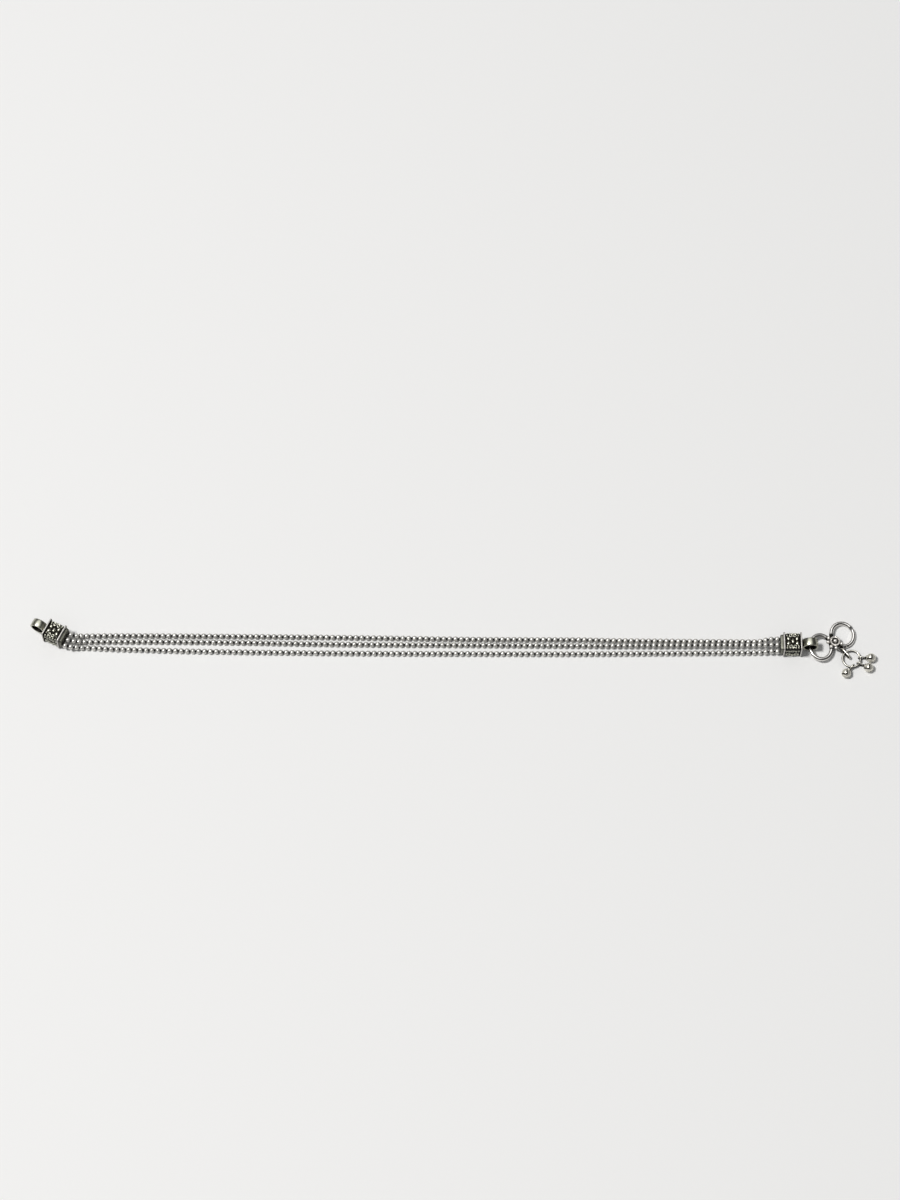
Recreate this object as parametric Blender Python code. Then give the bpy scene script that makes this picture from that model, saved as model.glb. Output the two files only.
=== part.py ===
"""A three-strand silver anklet that lies open and straight on a flat surface.

+X runs along the strands from the end with the free bail to the end with the clasp, +Y points
away from the viewer and +Z is up. The surface is z = 0, and the middle of the whole box is x = y = 0.
"""

import math

import bmesh
import bpy
from mathutils import Matrix, Vector

MM = 0.001
GAP = 0.3 * MM
SOLDER_DEPTH = 0.2 * MM
SHARP_ANGLE = math.radians(35)

# End caps: square barrel beads, with a collar for the strands and a bail at the outer end
CAP_WIDTH = 6.3 * MM
CAP_LENGTH = 5.85 * MM
CAP_SPACING = 235.5 * MM
CAP_CORNER = 0.7 * MM
RIM_THICKNESS = 0.45 * MM
RIM_SLOPE = 0.05 * MM
GROOVE_DEPTH = 0.55 * MM
BULGE_DEPTH = 0.35 * MM
BULGE_POWER = 4
BARREL_CORNER = 0.8 * MM
BARREL_SECTIONS = (-1, -0.8, -0.4, 0, 0.4, 0.8, 1)
LEFT_CAP_SHIFT = 3.8 * MM
LEFT_CAP_TURN = math.radians(26)
COLLAR_LENGTH = 0.9 * MM
COLLAR_INSET_Y = 0.4 * MM
COLLAR_INSET_Z = 1.05 * MM
BAIL_OUTER_R = 2.5 * MM
BAIL_WALL = 0.6 * MM
BAIL_WIDTH = 2.6 * MM
BAIL_RISE = 0.3 * MM
BAIL_STEPS = 28
STEM_LENGTH = 0.3 * MM
STEM_WIDTH = 2.0 * MM

# Raised pattern of each cap face: u runs along the cap, s across the face and round its corner
RELIEF_RING_AT = (0.62 * MM, 1.85 * MM)
RELIEF_RING_R = 0.4 * MM
RELIEF_RING_WIRE_R = 0.17 * MM
RELIEF_RING_DETAIL = (8, 4)
PETAL_AT = (1.28 * MM, 0.72 * MM)
PETAL_SIZE = (0.36 * MM, 0.55 * MM, 0.27 * MM)
PETAL_LEAN = math.radians(25)
GRAIN_SIZE = (0.38 * MM, 0.85 * MM, 0.3 * MM)
SIDE_BALL_AT = (1.75 * MM, 1.7 * MM)
SIDE_BALL_R = 0.28 * MM
GRAIN_SINK = 0.05 * MM
GRAIN_DETAIL = (6, 4)
RING_SINK = 0.03 * MM
EDGE_BALL_R = 0.34 * MM
EDGE_BALL_PITCH = 0.92 * MM
EDGE_BALLS = 5

# Strands: a ball chain's outer form, one tube for each
BEAD_DIAMETER = 1.7 * MM
STRAND_SPREAD = 1.147 * BEAD_DIAMETER
TUBE_STEP = 2.9 * BEAD_DIAMETER
TUBE_SIDES_LEVEL = 2

# Clasp: two soldered wire rings under a rosette, with an eye for the drop
CLASP_WIRE_R = 0.65 * MM
CLASP_RING_STEPS = 28
CLASP_WIRE_SIDES = 8
FINE_WIRE_SIDES = 6
THREADED_RING = (3.5 * MM, 4.15 * MM)
FREE_RING = (3.67 * MM, 4.0 * MM)
CLASP_DIRECTION = math.radians(32.8)
THREADED_RING_OFFSET = -0.48 * MM
HOOK_MOUTH = 0.4 * MM
HOOK_MOUTH_AT = math.radians(35)
ROSETTE_SHIFT = (0.95 * MM, -0.35 * MM)
ROSETTE_R = 1.75 * MM
ROSETTE_HEIGHT = 0.95 * MM
ROSETTE_SIDES = 18
ROPE_RING_R = 1.3 * MM
ROPE_WIRE_R = 0.28 * MM
ROPE_RING_STEPS = 16
ROSETTE_BALL_R = 0.62 * MM
GRANULE_R = 0.5 * MM
GRANULE_CIRCLE_R = 2.1 * MM
GRANULE_ANGLES = (153, 190, 236, 277, 342)
EYE_R = 0.9 * MM
EYE_WIRE_R = 0.3 * MM
EYE_REACH = 3.1 * MM
EYE_DIRECTION = math.radians(-47)
EYE_POST_R = 1.2 * EYE_WIRE_R
SMALL_RING_STEPS = 14

# Drop: a long link, a jump ring and three small round bells
LINK_LENGTH = 4.5 * MM
LINK_HEIGHT = 2.2 * MM
LINK_WIRE_R = 0.275 * MM
LINK_DIRECTION = math.radians(-51)
LINK_END_STEPS = 6
LINK_SLACK = 0.8 * GAP
DROP_RING_R = 2.85 * MM
DROP_RING_WIRE_R = 0.3 * MM
DROP_RING_DIRECTION = math.radians(-45.6)
DROP_RING_STEPS = 30
BELL_R = 1.5 * MM
BELL_WALL = 0.4 * MM
BELL_SLOT = 0.4 * MM
BELL_NECK_LENGTH = 0.6 * MM
BELL_NECK_R = 0.5 * MM
BELL_LOOP_R = 0.94 * MM
BELL_LOOP_WIRE_R = 0.21 * MM
BELL_DETAIL = (12, 8)
BELL_HOLLOW_DETAIL = (8, 6)
BELL_FACET_TURN = math.radians(15)
# name, place on the jump ring, way from the ring to the ball, slack of the loop on the wire
BELLS = (
    ("bell_1", math.radians(-90), math.radians(-130), 0.05 * MM),
    ("bell_2", math.radians(-37), math.radians(-26), 0.55 * MM),
    ("bell_3", math.radians(6), math.radians(-2), 0.55 * MM),
)

# Routes of the strands between the collars: share of half the cap spacing, then y and the
# lift off the surface in bead diameters
STRAND_ROUTES = {
    "strand_back": (
        (-0.919, 2.27, 0.0), (-0.607, 2.27, 0.0), (-0.213, 1.98, 0.0), (0.149, 1.60, 0.0),
        (0.426, 1.49, 0.0), (0.535, 1.32, 0.0), (0.9, 1.09, 0.0),
    ),
    "strand_middle": (
        (-0.919, 1.05, 0.0), (-0.607, 1.03, 0.0), (-0.213, 0.58, 0.0), (0.149, 0.40, 0.0),
        (0.426, 0.25, 0.06), (0.535, 0.16, 0.32), (0.9, 0.12, 0.62),
    ),
    "strand_front": (
        (-0.919, -0.15, 0.0), (-0.838, -0.41, 0.0), (-0.607, -0.86, 0.0), (-0.213, -1.23, 0.0),
        (0.149, -1.35, 0.0), (0.426, -1.39, 0.0), (0.535, -1.34, 0.0), (0.9, -1.15, 0.0),
    ),
}
# Where each strand meets the collars: side of the cap axis, height above the left and right axis
STRAND_ENDS = {
    "strand_back": (1, -0.4 * MM, -0.35 * MM),
    "strand_middle": (0, -0.45 * MM, -0.45 * MM),
    "strand_front": (-1, -0.85 * MM, -1.25 * MM),
}
ENTRY_RUN = 1.6 * MM
FINE_STEPS = 24


def clear_scene():
    """Leaves no object of the start-up scene."""
    for old in list(bpy.data.objects):
        bpy.data.objects.remove(old, do_unlink=True)


def silver(name, colour, roughness):
    """A metal of this colour and roughness."""
    material = bpy.data.materials.new(name)
    material.use_nodes = True
    shader = material.node_tree.nodes["Principled BSDF"]
    shader.inputs["Base Color"].default_value = (*colour, 1.0)
    shader.inputs["Roughness"].default_value = roughness
    shader.inputs["Metallic"].default_value = 1.0
    return material


def loft(sections):
    """A closed solid through loops of points that have the same number of points."""
    bm = bmesh.new()
    loops = [[bm.verts.new(point) for point in section] for section in sections]
    for first, second in zip(loops, loops[1:]):
        for i in range(len(first)):
            j = (i + 1) % len(first)
            bm.faces.new((first[i], first[j], second[j], second[i]))
    bm.faces.new(loops[0])
    bm.faces.new(loops[-1])
    bmesh.ops.recalc_face_normals(bm, faces=bm.faces)
    return bm


def rounded_square(x, half_y, half_z, corner, steps=3):
    """A rounded rectangle in the plane across the X axis."""
    points = []
    for quarter, (side_y, side_z) in enumerate(((1, 1), (-1, 1), (-1, -1), (1, -1))):
        centre = Vector((x, side_y * (half_y - corner), side_z * (half_z - corner)))
        for step in range(steps + 1):
            angle = math.radians(90) * (quarter + step / steps)
            points.append(centre + corner * Vector((0, math.cos(angle), math.sin(angle))))
    return points


def wire(path, radius, sides, closed=True):
    """Round wire along a flat path in the XY plane, closed in a ring or with plain ends."""
    bm = bmesh.new()
    count = len(path)
    loops = []
    for i, point in enumerate(path):
        before = path[i - 1] if closed or i > 0 else point
        after = path[(i + 1) % count] if closed or i < count - 1 else point
        along = (after - before).normalized()
        outward = along.cross(Vector((0, 0, 1)))
        loop = []
        for side in range(sides):
            angle = 2 * math.pi * (side + 0.5) / sides
            offset = outward * math.cos(angle) + Vector((0, 0, math.sin(angle)))
            loop.append(bm.verts.new(point + radius * offset))
        loops.append(loop)
    for i in range(count if closed else count - 1):
        first, second = loops[i], loops[(i + 1) % count]
        for j in range(sides):
            k = (j + 1) % sides
            bm.faces.new((first[j], first[k], second[k], second[j]))
    if not closed:
        bm.faces.new(loops[0])
        bm.faces.new(loops[-1])
    bmesh.ops.recalc_face_normals(bm, faces=bm.faces)
    return bm


def elliptic_arc(a, b, steps, start, end):
    """Points of an ellipse about the origin from one angle to another, both ends included."""
    angles = [start + (end - start) * i / steps for i in range(steps + 1)]
    return [Vector((a * math.cos(t), b * math.sin(t), 0)) for t in angles]


def ellipse(a, b, steps):
    """Points of a whole ellipse about the origin."""
    return elliptic_arc(a, b, steps, 0, 2 * math.pi)[:-1]


def plan_way(angle):
    """The unit vector at this angle in the XY plane."""
    return Vector((math.cos(angle), math.sin(angle), 0))


def ellipse_reach(a, b, angle):
    """How far an ellipse reaches from its centre in one direction."""
    return 1 / math.hypot(math.cos(angle) / a, math.sin(angle) / b)


def ball(radius, segments=10, rings=6):
    """A sphere about the origin, its poles on the Z axis."""
    bm = bmesh.new()
    bmesh.ops.create_uvsphere(bm, u_segments=segments, v_segments=rings, radius=radius)
    return bm


def disc(radius, low, high, segments):
    """An upright cylinder about the Z axis from one height to another."""
    bm = bmesh.new()
    bmesh.ops.create_cone(
        bm, cap_ends=True, segments=segments, radius1=radius, radius2=radius, depth=high - low
    )
    bmesh.ops.translate(bm, vec=(0, 0, (high + low) / 2), verts=bm.verts)
    return bm


def block(size):
    """A box of this size about the origin."""
    bm = bmesh.new()
    bmesh.ops.create_cube(bm, size=1)
    bmesh.ops.scale(bm, vec=size, verts=bm.verts)
    return bm


def moved(bm, matrix):
    """The same bmesh after a transform."""
    bmesh.ops.transform(bm, matrix=matrix, verts=bm.verts)
    return bm


def shape(name, bm):
    """An object made from a bmesh, in its own coordinates."""
    mesh = bpy.data.meshes.new(name)
    bm.to_mesh(mesh)
    bm.free()
    made = bpy.data.objects.new(name, mesh)
    bpy.context.scene.collection.objects.link(made)
    return made


def gathered(name, bms):
    """One object that holds several separate closed shapes."""
    whole = bmesh.new()
    for bm in bms:
        part = bpy.data.meshes.new(name)
        bm.to_mesh(part)
        bm.free()
        whole.from_mesh(part)
        bpy.data.meshes.remove(part)
    return shape(name, whole)


def combined(base, other, operation):
    """The base object after one Boolean with the other, which is used up."""
    step = base.modifiers.new(operation, "BOOLEAN")
    step.object = other
    step.operation = operation
    step.solver = "EXACT"
    bpy.context.view_layer.update()
    solved = base.evaluated_get(bpy.context.evaluated_depsgraph_get())
    mesh = bpy.data.meshes.new_from_object(solved)
    base.modifiers.clear()
    base.data = mesh
    bpy.data.objects.remove(other, do_unlink=True)
    return base


def placed(made, name, material, matrix):
    """Names an object, gives it its metal and shading, and puts it in its place."""
    made.name = name
    made.data.materials.clear()
    made.data.materials.append(material)
    made.data.shade_smooth()
    made.data.set_sharp_from_angle(angle=SHARP_ANGLE)
    made.matrix_world = matrix
    return made


def barrel_half(u):
    """Half the width of a cap between its rims, at u along it: grooves beside a bulged middle."""
    end = CAP_LENGTH / 2 - RIM_THICKNESS
    share = min(1.0, abs(u) / end)
    depth = BULGE_DEPTH + (GROOVE_DEPTH - BULGE_DEPTH) * share**BULGE_POWER
    return CAP_WIDTH / 2 - depth


def cap_body():
    """The barrel between two square rims, lofted along the X axis."""
    half = CAP_LENGTH / 2
    groove = half - RIM_THICKNESS
    rim = CAP_WIDTH / 2
    sections = [rounded_square(-half, rim, rim, CAP_CORNER)]
    sections.append(rounded_square(-groove - RIM_SLOPE, rim, rim, CAP_CORNER))
    for u in (groove * share for share in BARREL_SECTIONS):
        sections.append(rounded_square(u, barrel_half(u), barrel_half(u), BARREL_CORNER))
    sections.append(rounded_square(groove + RIM_SLOPE, rim, rim, CAP_CORNER))
    sections.append(rounded_square(half, rim, rim, CAP_CORNER))
    return loft(sections)


def on_face(quarter, u, s, sink, turn=0.0):
    """The frame of a spot on a cap face, s across it and round the corner, Z pointing out."""
    half = barrel_half(u)
    flat = half - BARREL_CORNER
    past = max(0.0, abs(s) - flat)
    angle = math.copysign(past / BARREL_CORNER, s)
    across = math.copysign(min(abs(s), flat), s) + BARREL_CORNER * math.sin(angle)
    height = flat + BARREL_CORNER * math.cos(angle)
    spot = Matrix.Translation((u, across, height)) @ Matrix.Rotation(-angle, 4, "X")
    lowered = Matrix.Translation((0, 0, -sink)) @ Matrix.Rotation(turn, 4, "Z")
    return Matrix.Rotation(math.radians(90) * quarter, 4, "X") @ spot @ lowered


def grain(size, matrix):
    """A raised oval grain, half buried where it sits."""
    return moved(ball(1.0, *GRAIN_DETAIL), matrix @ Matrix.Diagonal((*size, 1.0)))


def cap_relief():
    """The flower, rings and balls of all four faces, clear of each other."""
    made = []
    signs = ((-1, -1), (-1, 1), (1, -1), (1, 1))
    for quarter in range(4):
        made.append(grain(GRAIN_SIZE, on_face(quarter, 0, 0, GRAIN_SINK)))
        for side_u, side_s in signs:
            u, s = side_u * PETAL_AT[0], side_s * PETAL_AT[1]
            lean = -side_u * side_s * PETAL_LEAN
            made.append(grain(PETAL_SIZE, on_face(quarter, u, s, GRAIN_SINK, lean)))
            u, s = side_u * SIDE_BALL_AT[0], side_s * SIDE_BALL_AT[1]
            made.append(grain((SIDE_BALL_R,) * 3, on_face(quarter, u, s, GRAIN_SINK)))
            u, s = side_u * RELIEF_RING_AT[0], side_s * RELIEF_RING_AT[1]
            steps, sides = RELIEF_RING_DETAIL
            circle = ellipse(RELIEF_RING_R, RELIEF_RING_R, steps)
            spot = on_face(quarter, u, s, RING_SINK)
            made.append(moved(wire(circle, RELIEF_RING_WIRE_R, sides), spot))
    return made


def edge_balls():
    """A row of balls along each long corner of the barrel."""
    made = []
    for quarter in range(4):
        for i in range(EDGE_BALLS):
            u = (i - (EDGE_BALLS - 1) / 2) * EDGE_BALL_PITCH
            corner = barrel_half(u) - BARREL_CORNER + BARREL_CORNER * math.radians(45)
            made.append(grain((EDGE_BALL_R,) * 3, on_face(quarter, u, corner, GRAIN_SINK)))
    return made


def bail_centre():
    """Middle of the bail's hole, from the cap's middle, with +X towards the bail."""
    return Vector((CAP_LENGTH / 2 + STEM_LENGTH + BAIL_OUTER_R, 0, BAIL_RISE))


def bail_hole_r():
    """Radius of the bail's hole."""
    return BAIL_OUTER_R - BAIL_WALL


def bail_band():
    """The flat strip bent to a loop, its hole running across the anklet."""
    sections = []
    inner_r = bail_hole_r()
    corners = ((BAIL_OUTER_R, -1), (BAIL_OUTER_R, 1), (inner_r, 1), (inner_r, -1))
    bm = bmesh.new()
    for i in range(BAIL_STEPS):
        angle = 2 * math.pi * i / BAIL_STEPS
        along = Vector((math.cos(angle), 0, math.sin(angle)))
        sections.append([
            bm.verts.new(r * along + Vector((0, side * BAIL_WIDTH / 2, 0))) for r, side in corners
        ])
    for i in range(BAIL_STEPS):
        first, second = sections[i], sections[(i + 1) % BAIL_STEPS]
        for j in range(len(corners)):
            k = (j + 1) % len(corners)
            bm.faces.new((first[j], first[k], second[k], second[j]))
    bmesh.ops.recalc_face_normals(bm, faces=bm.faces)
    return moved(bm, Matrix.Translation(bail_centre()))


def bail_stem():
    """The short soldered bar between the cap's end and the bail."""
    start = CAP_LENGTH / 2 - SOLDER_DEPTH
    end = CAP_LENGTH / 2 + STEM_LENGTH + BAIL_WALL / 2
    bar = block((end - start, STEM_WIDTH, STEM_WIDTH))
    return moved(bar, Matrix.Translation(((start + end) / 2, 0, BAIL_RISE)))


def collar():
    """The block that the strands are soldered to, in front of the cap's inner rim."""
    half_y = CAP_WIDTH / 2 - COLLAR_INSET_Y
    half_z = CAP_WIDTH / 2 - COLLAR_INSET_Z
    inner = -CAP_LENGTH / 2 + SOLDER_DEPTH
    outer = -CAP_LENGTH / 2 - COLLAR_LENGTH
    return loft([
        rounded_square(outer, half_y, half_z, BARREL_CORNER),
        rounded_square(inner, half_y, half_z, BARREL_CORNER),
    ])


def cap_matrix(left):
    """Where a cap stands: its middle, with +X of its own frame towards its bail."""
    height = CAP_WIDTH / 2
    if left:
        turn = Matrix.Rotation(math.pi - LEFT_CAP_TURN, 4, "Z")
        return Matrix.Translation((-CAP_SPACING / 2, LEFT_CAP_SHIFT, height)) @ turn
    return Matrix.Translation((CAP_SPACING / 2, 0, height))


def end_cap(name, material, left):
    made = shape(name, cap_body())
    made = combined(made, gathered("relief", cap_relief()), "UNION")
    made = combined(made, gathered("edge_rows", edge_balls()), "UNION")
    made = combined(made, shape("collar", collar()), "UNION")
    made = combined(made, shape("bail", bail_band()), "UNION")
    made = combined(made, shape("stem", bail_stem()), "UNION")
    return placed(made, name, material, cap_matrix(left))


def strand_end(name, left):
    """Where a strand stops in front of a collar, and the way it points there."""
    side, left_height, right_height = STRAND_ENDS[name]
    face = -CAP_LENGTH / 2 - COLLAR_LENGTH - GAP
    across = side * STRAND_SPREAD * (-1 if left else 1)
    height = left_height if left else right_height
    frame = cap_matrix(left)
    return frame @ Vector((face, across, height)), frame.to_3x3() @ Vector((-1, 0, 0))


def route_points(name):
    """The points that a strand's middle line passes through, from the left end to the right."""
    start, out_of_left = strand_end(name, True)
    end, out_of_right = strand_end(name, False)
    points = [start, start + ENTRY_RUN * out_of_left]
    for share, y, lift in STRAND_ROUTES[name]:
        z = BEAD_DIAMETER * (0.5 + lift)
        points.append(Vector((share * CAP_SPACING / 2, y * BEAD_DIAMETER, z)))
    return points + [end + ENTRY_RUN * out_of_right, end]


def smooth_line(points, fine=FINE_STEPS):
    """A curve through all the points, whose slope at each follows its two neighbours.

    Its height only rises or only falls between two points, so that it never dips below them.
    """
    runs = [(b - a).length for a, b in zip(points, points[1:])]
    slopes = []
    for i in range(len(points)):
        low, high = max(0, i - 1), min(len(points) - 1, i + 1)
        slope = (points[high] - points[low]) / sum(runs[low:high])
        before = (points[i].z - points[low].z) / runs[low]
        after = (points[high].z - points[i].z) / runs[high - 1]
        slope.z = 2 * before * after / (before + after) if before * after > 0 else 0
        slopes.append(slope)
    line = []
    for i, run in enumerate(runs):
        for step in range(fine):
            t = step / fine
            line.append(
                (2 * t**3 - 3 * t**2 + 1) * points[i]
                + (t**3 - 2 * t**2 + t) * run * slopes[i]
                + (3 * t**2 - 2 * t**3) * points[i + 1]
                + (t**3 - t**2) * run * slopes[i + 1]
            )
    return line + [points[-1]]


def evenly(line, count):
    """Points of a line at equal distances along it."""
    runs = [(b - a).length for a, b in zip(line, line[1:])]
    spacing = sum(runs) / (count - 1)
    placed_points = [line[0]]
    walked = 0.0
    for a, b, run in zip(line, line[1:], runs):
        while len(placed_points) < count - 1 and walked + run >= spacing * len(placed_points):
            placed_points.append(a.lerp(b, (spacing * len(placed_points) - walked) / run))
        walked += run
    return placed_points + [line[-1]]


def strand(name, material):
    """One strand as a plain tube of its beads' diameter."""
    line = smooth_line(route_points(name))
    between_entries = line[FINE_STEPS:-FINE_STEPS]
    length = sum((b - a).length for a, b in zip(between_entries, between_entries[1:]))
    middle = evenly(between_entries, int(length / TUBE_STEP))
    points = [line[0], *middle, line[-1]]
    curve = bpy.data.curves.new(name, "CURVE")
    curve.dimensions = "3D"
    curve.bevel_depth = BEAD_DIAMETER / 2
    curve.bevel_resolution = TUBE_SIDES_LEVEL
    curve.use_fill_caps = True
    spline = curve.splines.new("POLY")
    spline.points.add(len(points) - 1)
    for point, place in zip(spline.points, points):
        point.co = (*place, 1.0)
    curve.materials.append(material)
    made = bpy.data.objects.new(name, curve)
    bpy.context.scene.collection.objects.link(made)
    return made


def free_ring_centre():
    """Middle of the free ring, in the clasp's plane, from where the threaded ring is held."""
    reach = ellipse_reach(*THREADED_RING, CLASP_DIRECTION)
    reach += ellipse_reach(*FREE_RING, CLASP_DIRECTION)
    reach += 2 * CLASP_WIRE_R - SOLDER_DEPTH / 2
    return Vector((THREADED_RING[0], 0, 0)) + reach * plan_way(CLASP_DIRECTION)


def rosette_centre():
    """Middle of the rosette, beside the spot where the two rings are soldered."""
    reach = ellipse_reach(*THREADED_RING, CLASP_DIRECTION) + CLASP_WIRE_R
    joint = Vector((THREADED_RING[0], 0, 0)) + reach * plan_way(CLASP_DIRECTION)
    return joint + Vector((*ROSETTE_SHIFT, 0))


def eye_centre():
    """Middle of the eye that the drop hangs in, in the clasp's plane."""
    return rosette_centre() + EYE_REACH * plan_way(EYE_DIRECTION)


def clasp_matrix():
    """The clasp hangs in the right bail at one end and rests on the surface at the other."""
    held = cap_matrix(False) @ bail_centre()
    held.y += THREADED_RING_OFFSET
    held.z += CLASP_WIRE_R + GAP - bail_hole_r()
    run = free_ring_centre().x + FREE_RING[0]
    tilt = math.asin((held.z - CLASP_WIRE_R) / run)
    return Matrix.Translation(held) @ Matrix.Rotation(tilt, 4, "Y")


def clasp_rings():
    """The threaded ring and the free ring with its narrow mouth, soldered side by side."""
    threaded = wire(ellipse(*THREADED_RING, CLASP_RING_STEPS), CLASP_WIRE_R, CLASP_WIRE_SIDES)
    made = shape("rings", moved(threaded, Matrix.Translation((THREADED_RING[0], 0, 0))))
    half_mouth = HOOK_MOUTH / 2 / ellipse_reach(*FREE_RING, HOOK_MOUTH_AT)
    start = HOOK_MOUTH_AT + half_mouth
    end = HOOK_MOUTH_AT + 2 * math.pi - half_mouth
    arc = elliptic_arc(*FREE_RING, CLASP_RING_STEPS, start, end)
    free = wire(arc, CLASP_WIRE_R, CLASP_WIRE_SIDES, closed=False)
    free = moved(free, Matrix.Translation(free_ring_centre()))
    return combined(made, shape("free_ring", free), "UNION")


def with_rosette(made):
    """Adds the round plate with its twisted ring, centre ball and granules."""
    rosette = Matrix.Translation(rosette_centre())
    plate = moved(disc(ROSETTE_R, -CLASP_WIRE_R / 2, ROSETTE_HEIGHT, ROSETTE_SIDES), rosette)
    made = combined(made, shape("plate", plate), "UNION")
    top = rosette @ Matrix.Translation((0, 0, ROSETTE_HEIGHT))
    circle = ellipse(ROPE_RING_R, ROPE_RING_R, ROPE_RING_STEPS)
    rope = moved(wire(circle, ROPE_WIRE_R, FINE_WIRE_SIDES), top)
    made = combined(made, shape("rope_ring", rope), "UNION")
    made = combined(made, shape("centre_ball", moved(ball(ROSETTE_BALL_R), top)), "UNION")
    granules = []
    for angle in map(math.radians, GRANULE_ANGLES):
        spot = GRANULE_CIRCLE_R * plan_way(angle) + Vector((0, 0, GRANULE_R))
        granules.append(moved(ball(GRANULE_R), rosette @ Matrix.Translation(spot)))
    return combined(made, gathered("granules", granules), "UNION")


def with_eye(made):
    """Adds the eye for the drop and the post between it and the rosette."""
    eye = wire(ellipse(EYE_R, EYE_R, SMALL_RING_STEPS), EYE_WIRE_R, FINE_WIRE_SIDES)
    made = combined(made, shape("eye", moved(eye, Matrix.Translation(eye_centre()))), "UNION")
    way = plan_way(EYE_DIRECTION)
    ends = (rosette_centre() + way * ROSETTE_R / 2, eye_centre() - way * EYE_R)
    post = wire(ends, EYE_POST_R, CLASP_WIRE_SIDES, closed=False)
    return combined(made, shape("eye_post", post), "UNION")


def clasp_hook(material):
    made = with_eye(with_rosette(clasp_rings()))
    return placed(made, "clasp_hook", material, clasp_matrix())


def eye_wire_spot():
    """Middle of the eye's wire where the long link hangs on it."""
    return clasp_matrix() @ (eye_centre() + EYE_R * plan_way(LINK_DIRECTION))


def link_matrix():
    """The long link stands on its edge, with the eye's wire inside its upper end."""
    start = EYE_WIRE_R + LINK_SLACK + 2 * LINK_WIRE_R
    middle = eye_wire_spot() + (LINK_LENGTH / 2 - start) * plan_way(LINK_DIRECTION)
    turn = Matrix.Rotation(LINK_DIRECTION, 4, "Z") @ Matrix.Rotation(math.pi / 2, 4, "X")
    return Matrix.Translation(middle) @ turn


def drop_link(material):
    half_height = LINK_HEIGHT / 2 - LINK_WIRE_R
    half_run = LINK_LENGTH / 2 - LINK_WIRE_R - half_height
    half_turn = math.radians(90)
    path = []
    for side, facing in ((1, 0), (-1, math.pi)):
        end = elliptic_arc(
            half_height, half_height, LINK_END_STEPS, facing - half_turn, facing + half_turn
        )
        path += [spot + Vector((side * half_run, 0, 0)) for spot in end]
    made = shape("drop_link", wire(path, LINK_WIRE_R, FINE_WIRE_SIDES))
    return placed(made, "drop_link", material, link_matrix())


def drop_ring_centre():
    """The jump ring lies level, its wire through the long link beside the eye's wire."""
    between = EYE_WIRE_R + DROP_RING_WIRE_R + LINK_SLACK
    crossing = eye_wire_spot() + between * plan_way(LINK_DIRECTION)
    return crossing + DROP_RING_R * plan_way(DROP_RING_DIRECTION)


def drop_ring(material):
    circle = ellipse(DROP_RING_R, DROP_RING_R, DROP_RING_STEPS)
    made = shape("drop_ring", wire(circle, DROP_RING_WIRE_R, FINE_WIRE_SIDES))
    return placed(made, "drop_ring", material, Matrix.Translation(drop_ring_centre()))


def bell_loop_at():
    """Middle of a bell's loop, from the middle of its ball."""
    return BELL_R + BELL_NECK_LENGTH + BELL_LOOP_R + BELL_LOOP_WIRE_R - SOLDER_DEPTH / 2


def bell_matrix(ring_angle, lean, slack):
    """Where a bell lies: its ball on the surface, its loop round the jump ring's wire."""
    crossing = drop_ring_centre() + DROP_RING_R * plan_way(ring_angle)
    wire_in_loop = DROP_RING_WIRE_R / abs(math.cos(ring_angle - lean))
    hole_r = BELL_LOOP_R - BELL_LOOP_WIRE_R
    reach = bell_loop_at() - hole_r + wire_in_loop + GAP / 2 + slack
    rise = crossing.z - BELL_R
    middle = crossing + math.sqrt(reach**2 - rise**2) * plan_way(lean)
    middle.z = BELL_R
    tip = math.asin(rise / reach)
    turn = Matrix.Rotation(lean + math.pi, 4, "Z") @ Matrix.Rotation(-tip, 4, "Y")
    return Matrix.Translation(middle) @ turn


def bell(name, ring_angle, lean, slack, material):
    """A hollow round bell on its side, with its slot away from the loop that holds the ring."""
    axis = Matrix.Rotation(BELL_FACET_TURN, 4, "X") @ Matrix.Rotation(math.pi / 2, 4, "Y")
    made = shape(name, moved(ball(BELL_R, *BELL_DETAIL), axis))
    neck_end = BELL_R + BELL_NECK_LENGTH
    neck = disc(BELL_NECK_R, BELL_R - BELL_WALL / 2, neck_end, BELL_DETAIL[0])
    made = combined(made, shape("neck", moved(neck, axis)), "UNION")
    circle = ellipse(BELL_LOOP_R, BELL_LOOP_R, SMALL_RING_STEPS)
    loop = wire(circle, BELL_LOOP_WIRE_R, FINE_WIRE_SIDES)
    upright = Matrix.Translation((bell_loop_at(), 0, 0)) @ Matrix.Rotation(math.pi / 2, 4, "X")
    made = combined(made, shape("loop", moved(loop, upright)), "UNION")
    hollow = moved(ball(BELL_R - BELL_WALL, *BELL_HOLLOW_DETAIL), axis)
    made = combined(made, shape("hollow", hollow), "DIFFERENCE")
    slot = moved(block((BELL_R, 3 * BELL_R, BELL_SLOT)), Matrix.Translation((-BELL_R, 0, 0)))
    made = combined(made, shape("slot", slot), "DIFFERENCE")
    return placed(made, name, material, bell_matrix(ring_angle, lean, slack))


def stand_on_origin(pieces):
    """Hangs all pieces on one empty and moves it so that their box is centred over the origin."""
    bpy.context.view_layer.update()
    graph = bpy.context.evaluated_depsgraph_get()
    corners = []
    for piece in pieces:
        solved = piece.evaluated_get(graph)
        mesh = solved.to_mesh()
        corners += [solved.matrix_world @ vertex.co for vertex in mesh.vertices]
        solved.to_mesh_clear()
    low = [min(corner[k] for corner in corners) for k in range(3)]
    high = [max(corner[k] for corner in corners) for k in range(3)]
    holder = bpy.data.objects.new("anklet", None)
    bpy.context.scene.collection.objects.link(holder)
    for piece in pieces:
        piece.parent = holder
    holder.location = (-(low[0] + high[0]) / 2, -(low[1] + high[1]) / 2, -low[2])
    bpy.context.view_layer.update()


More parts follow.
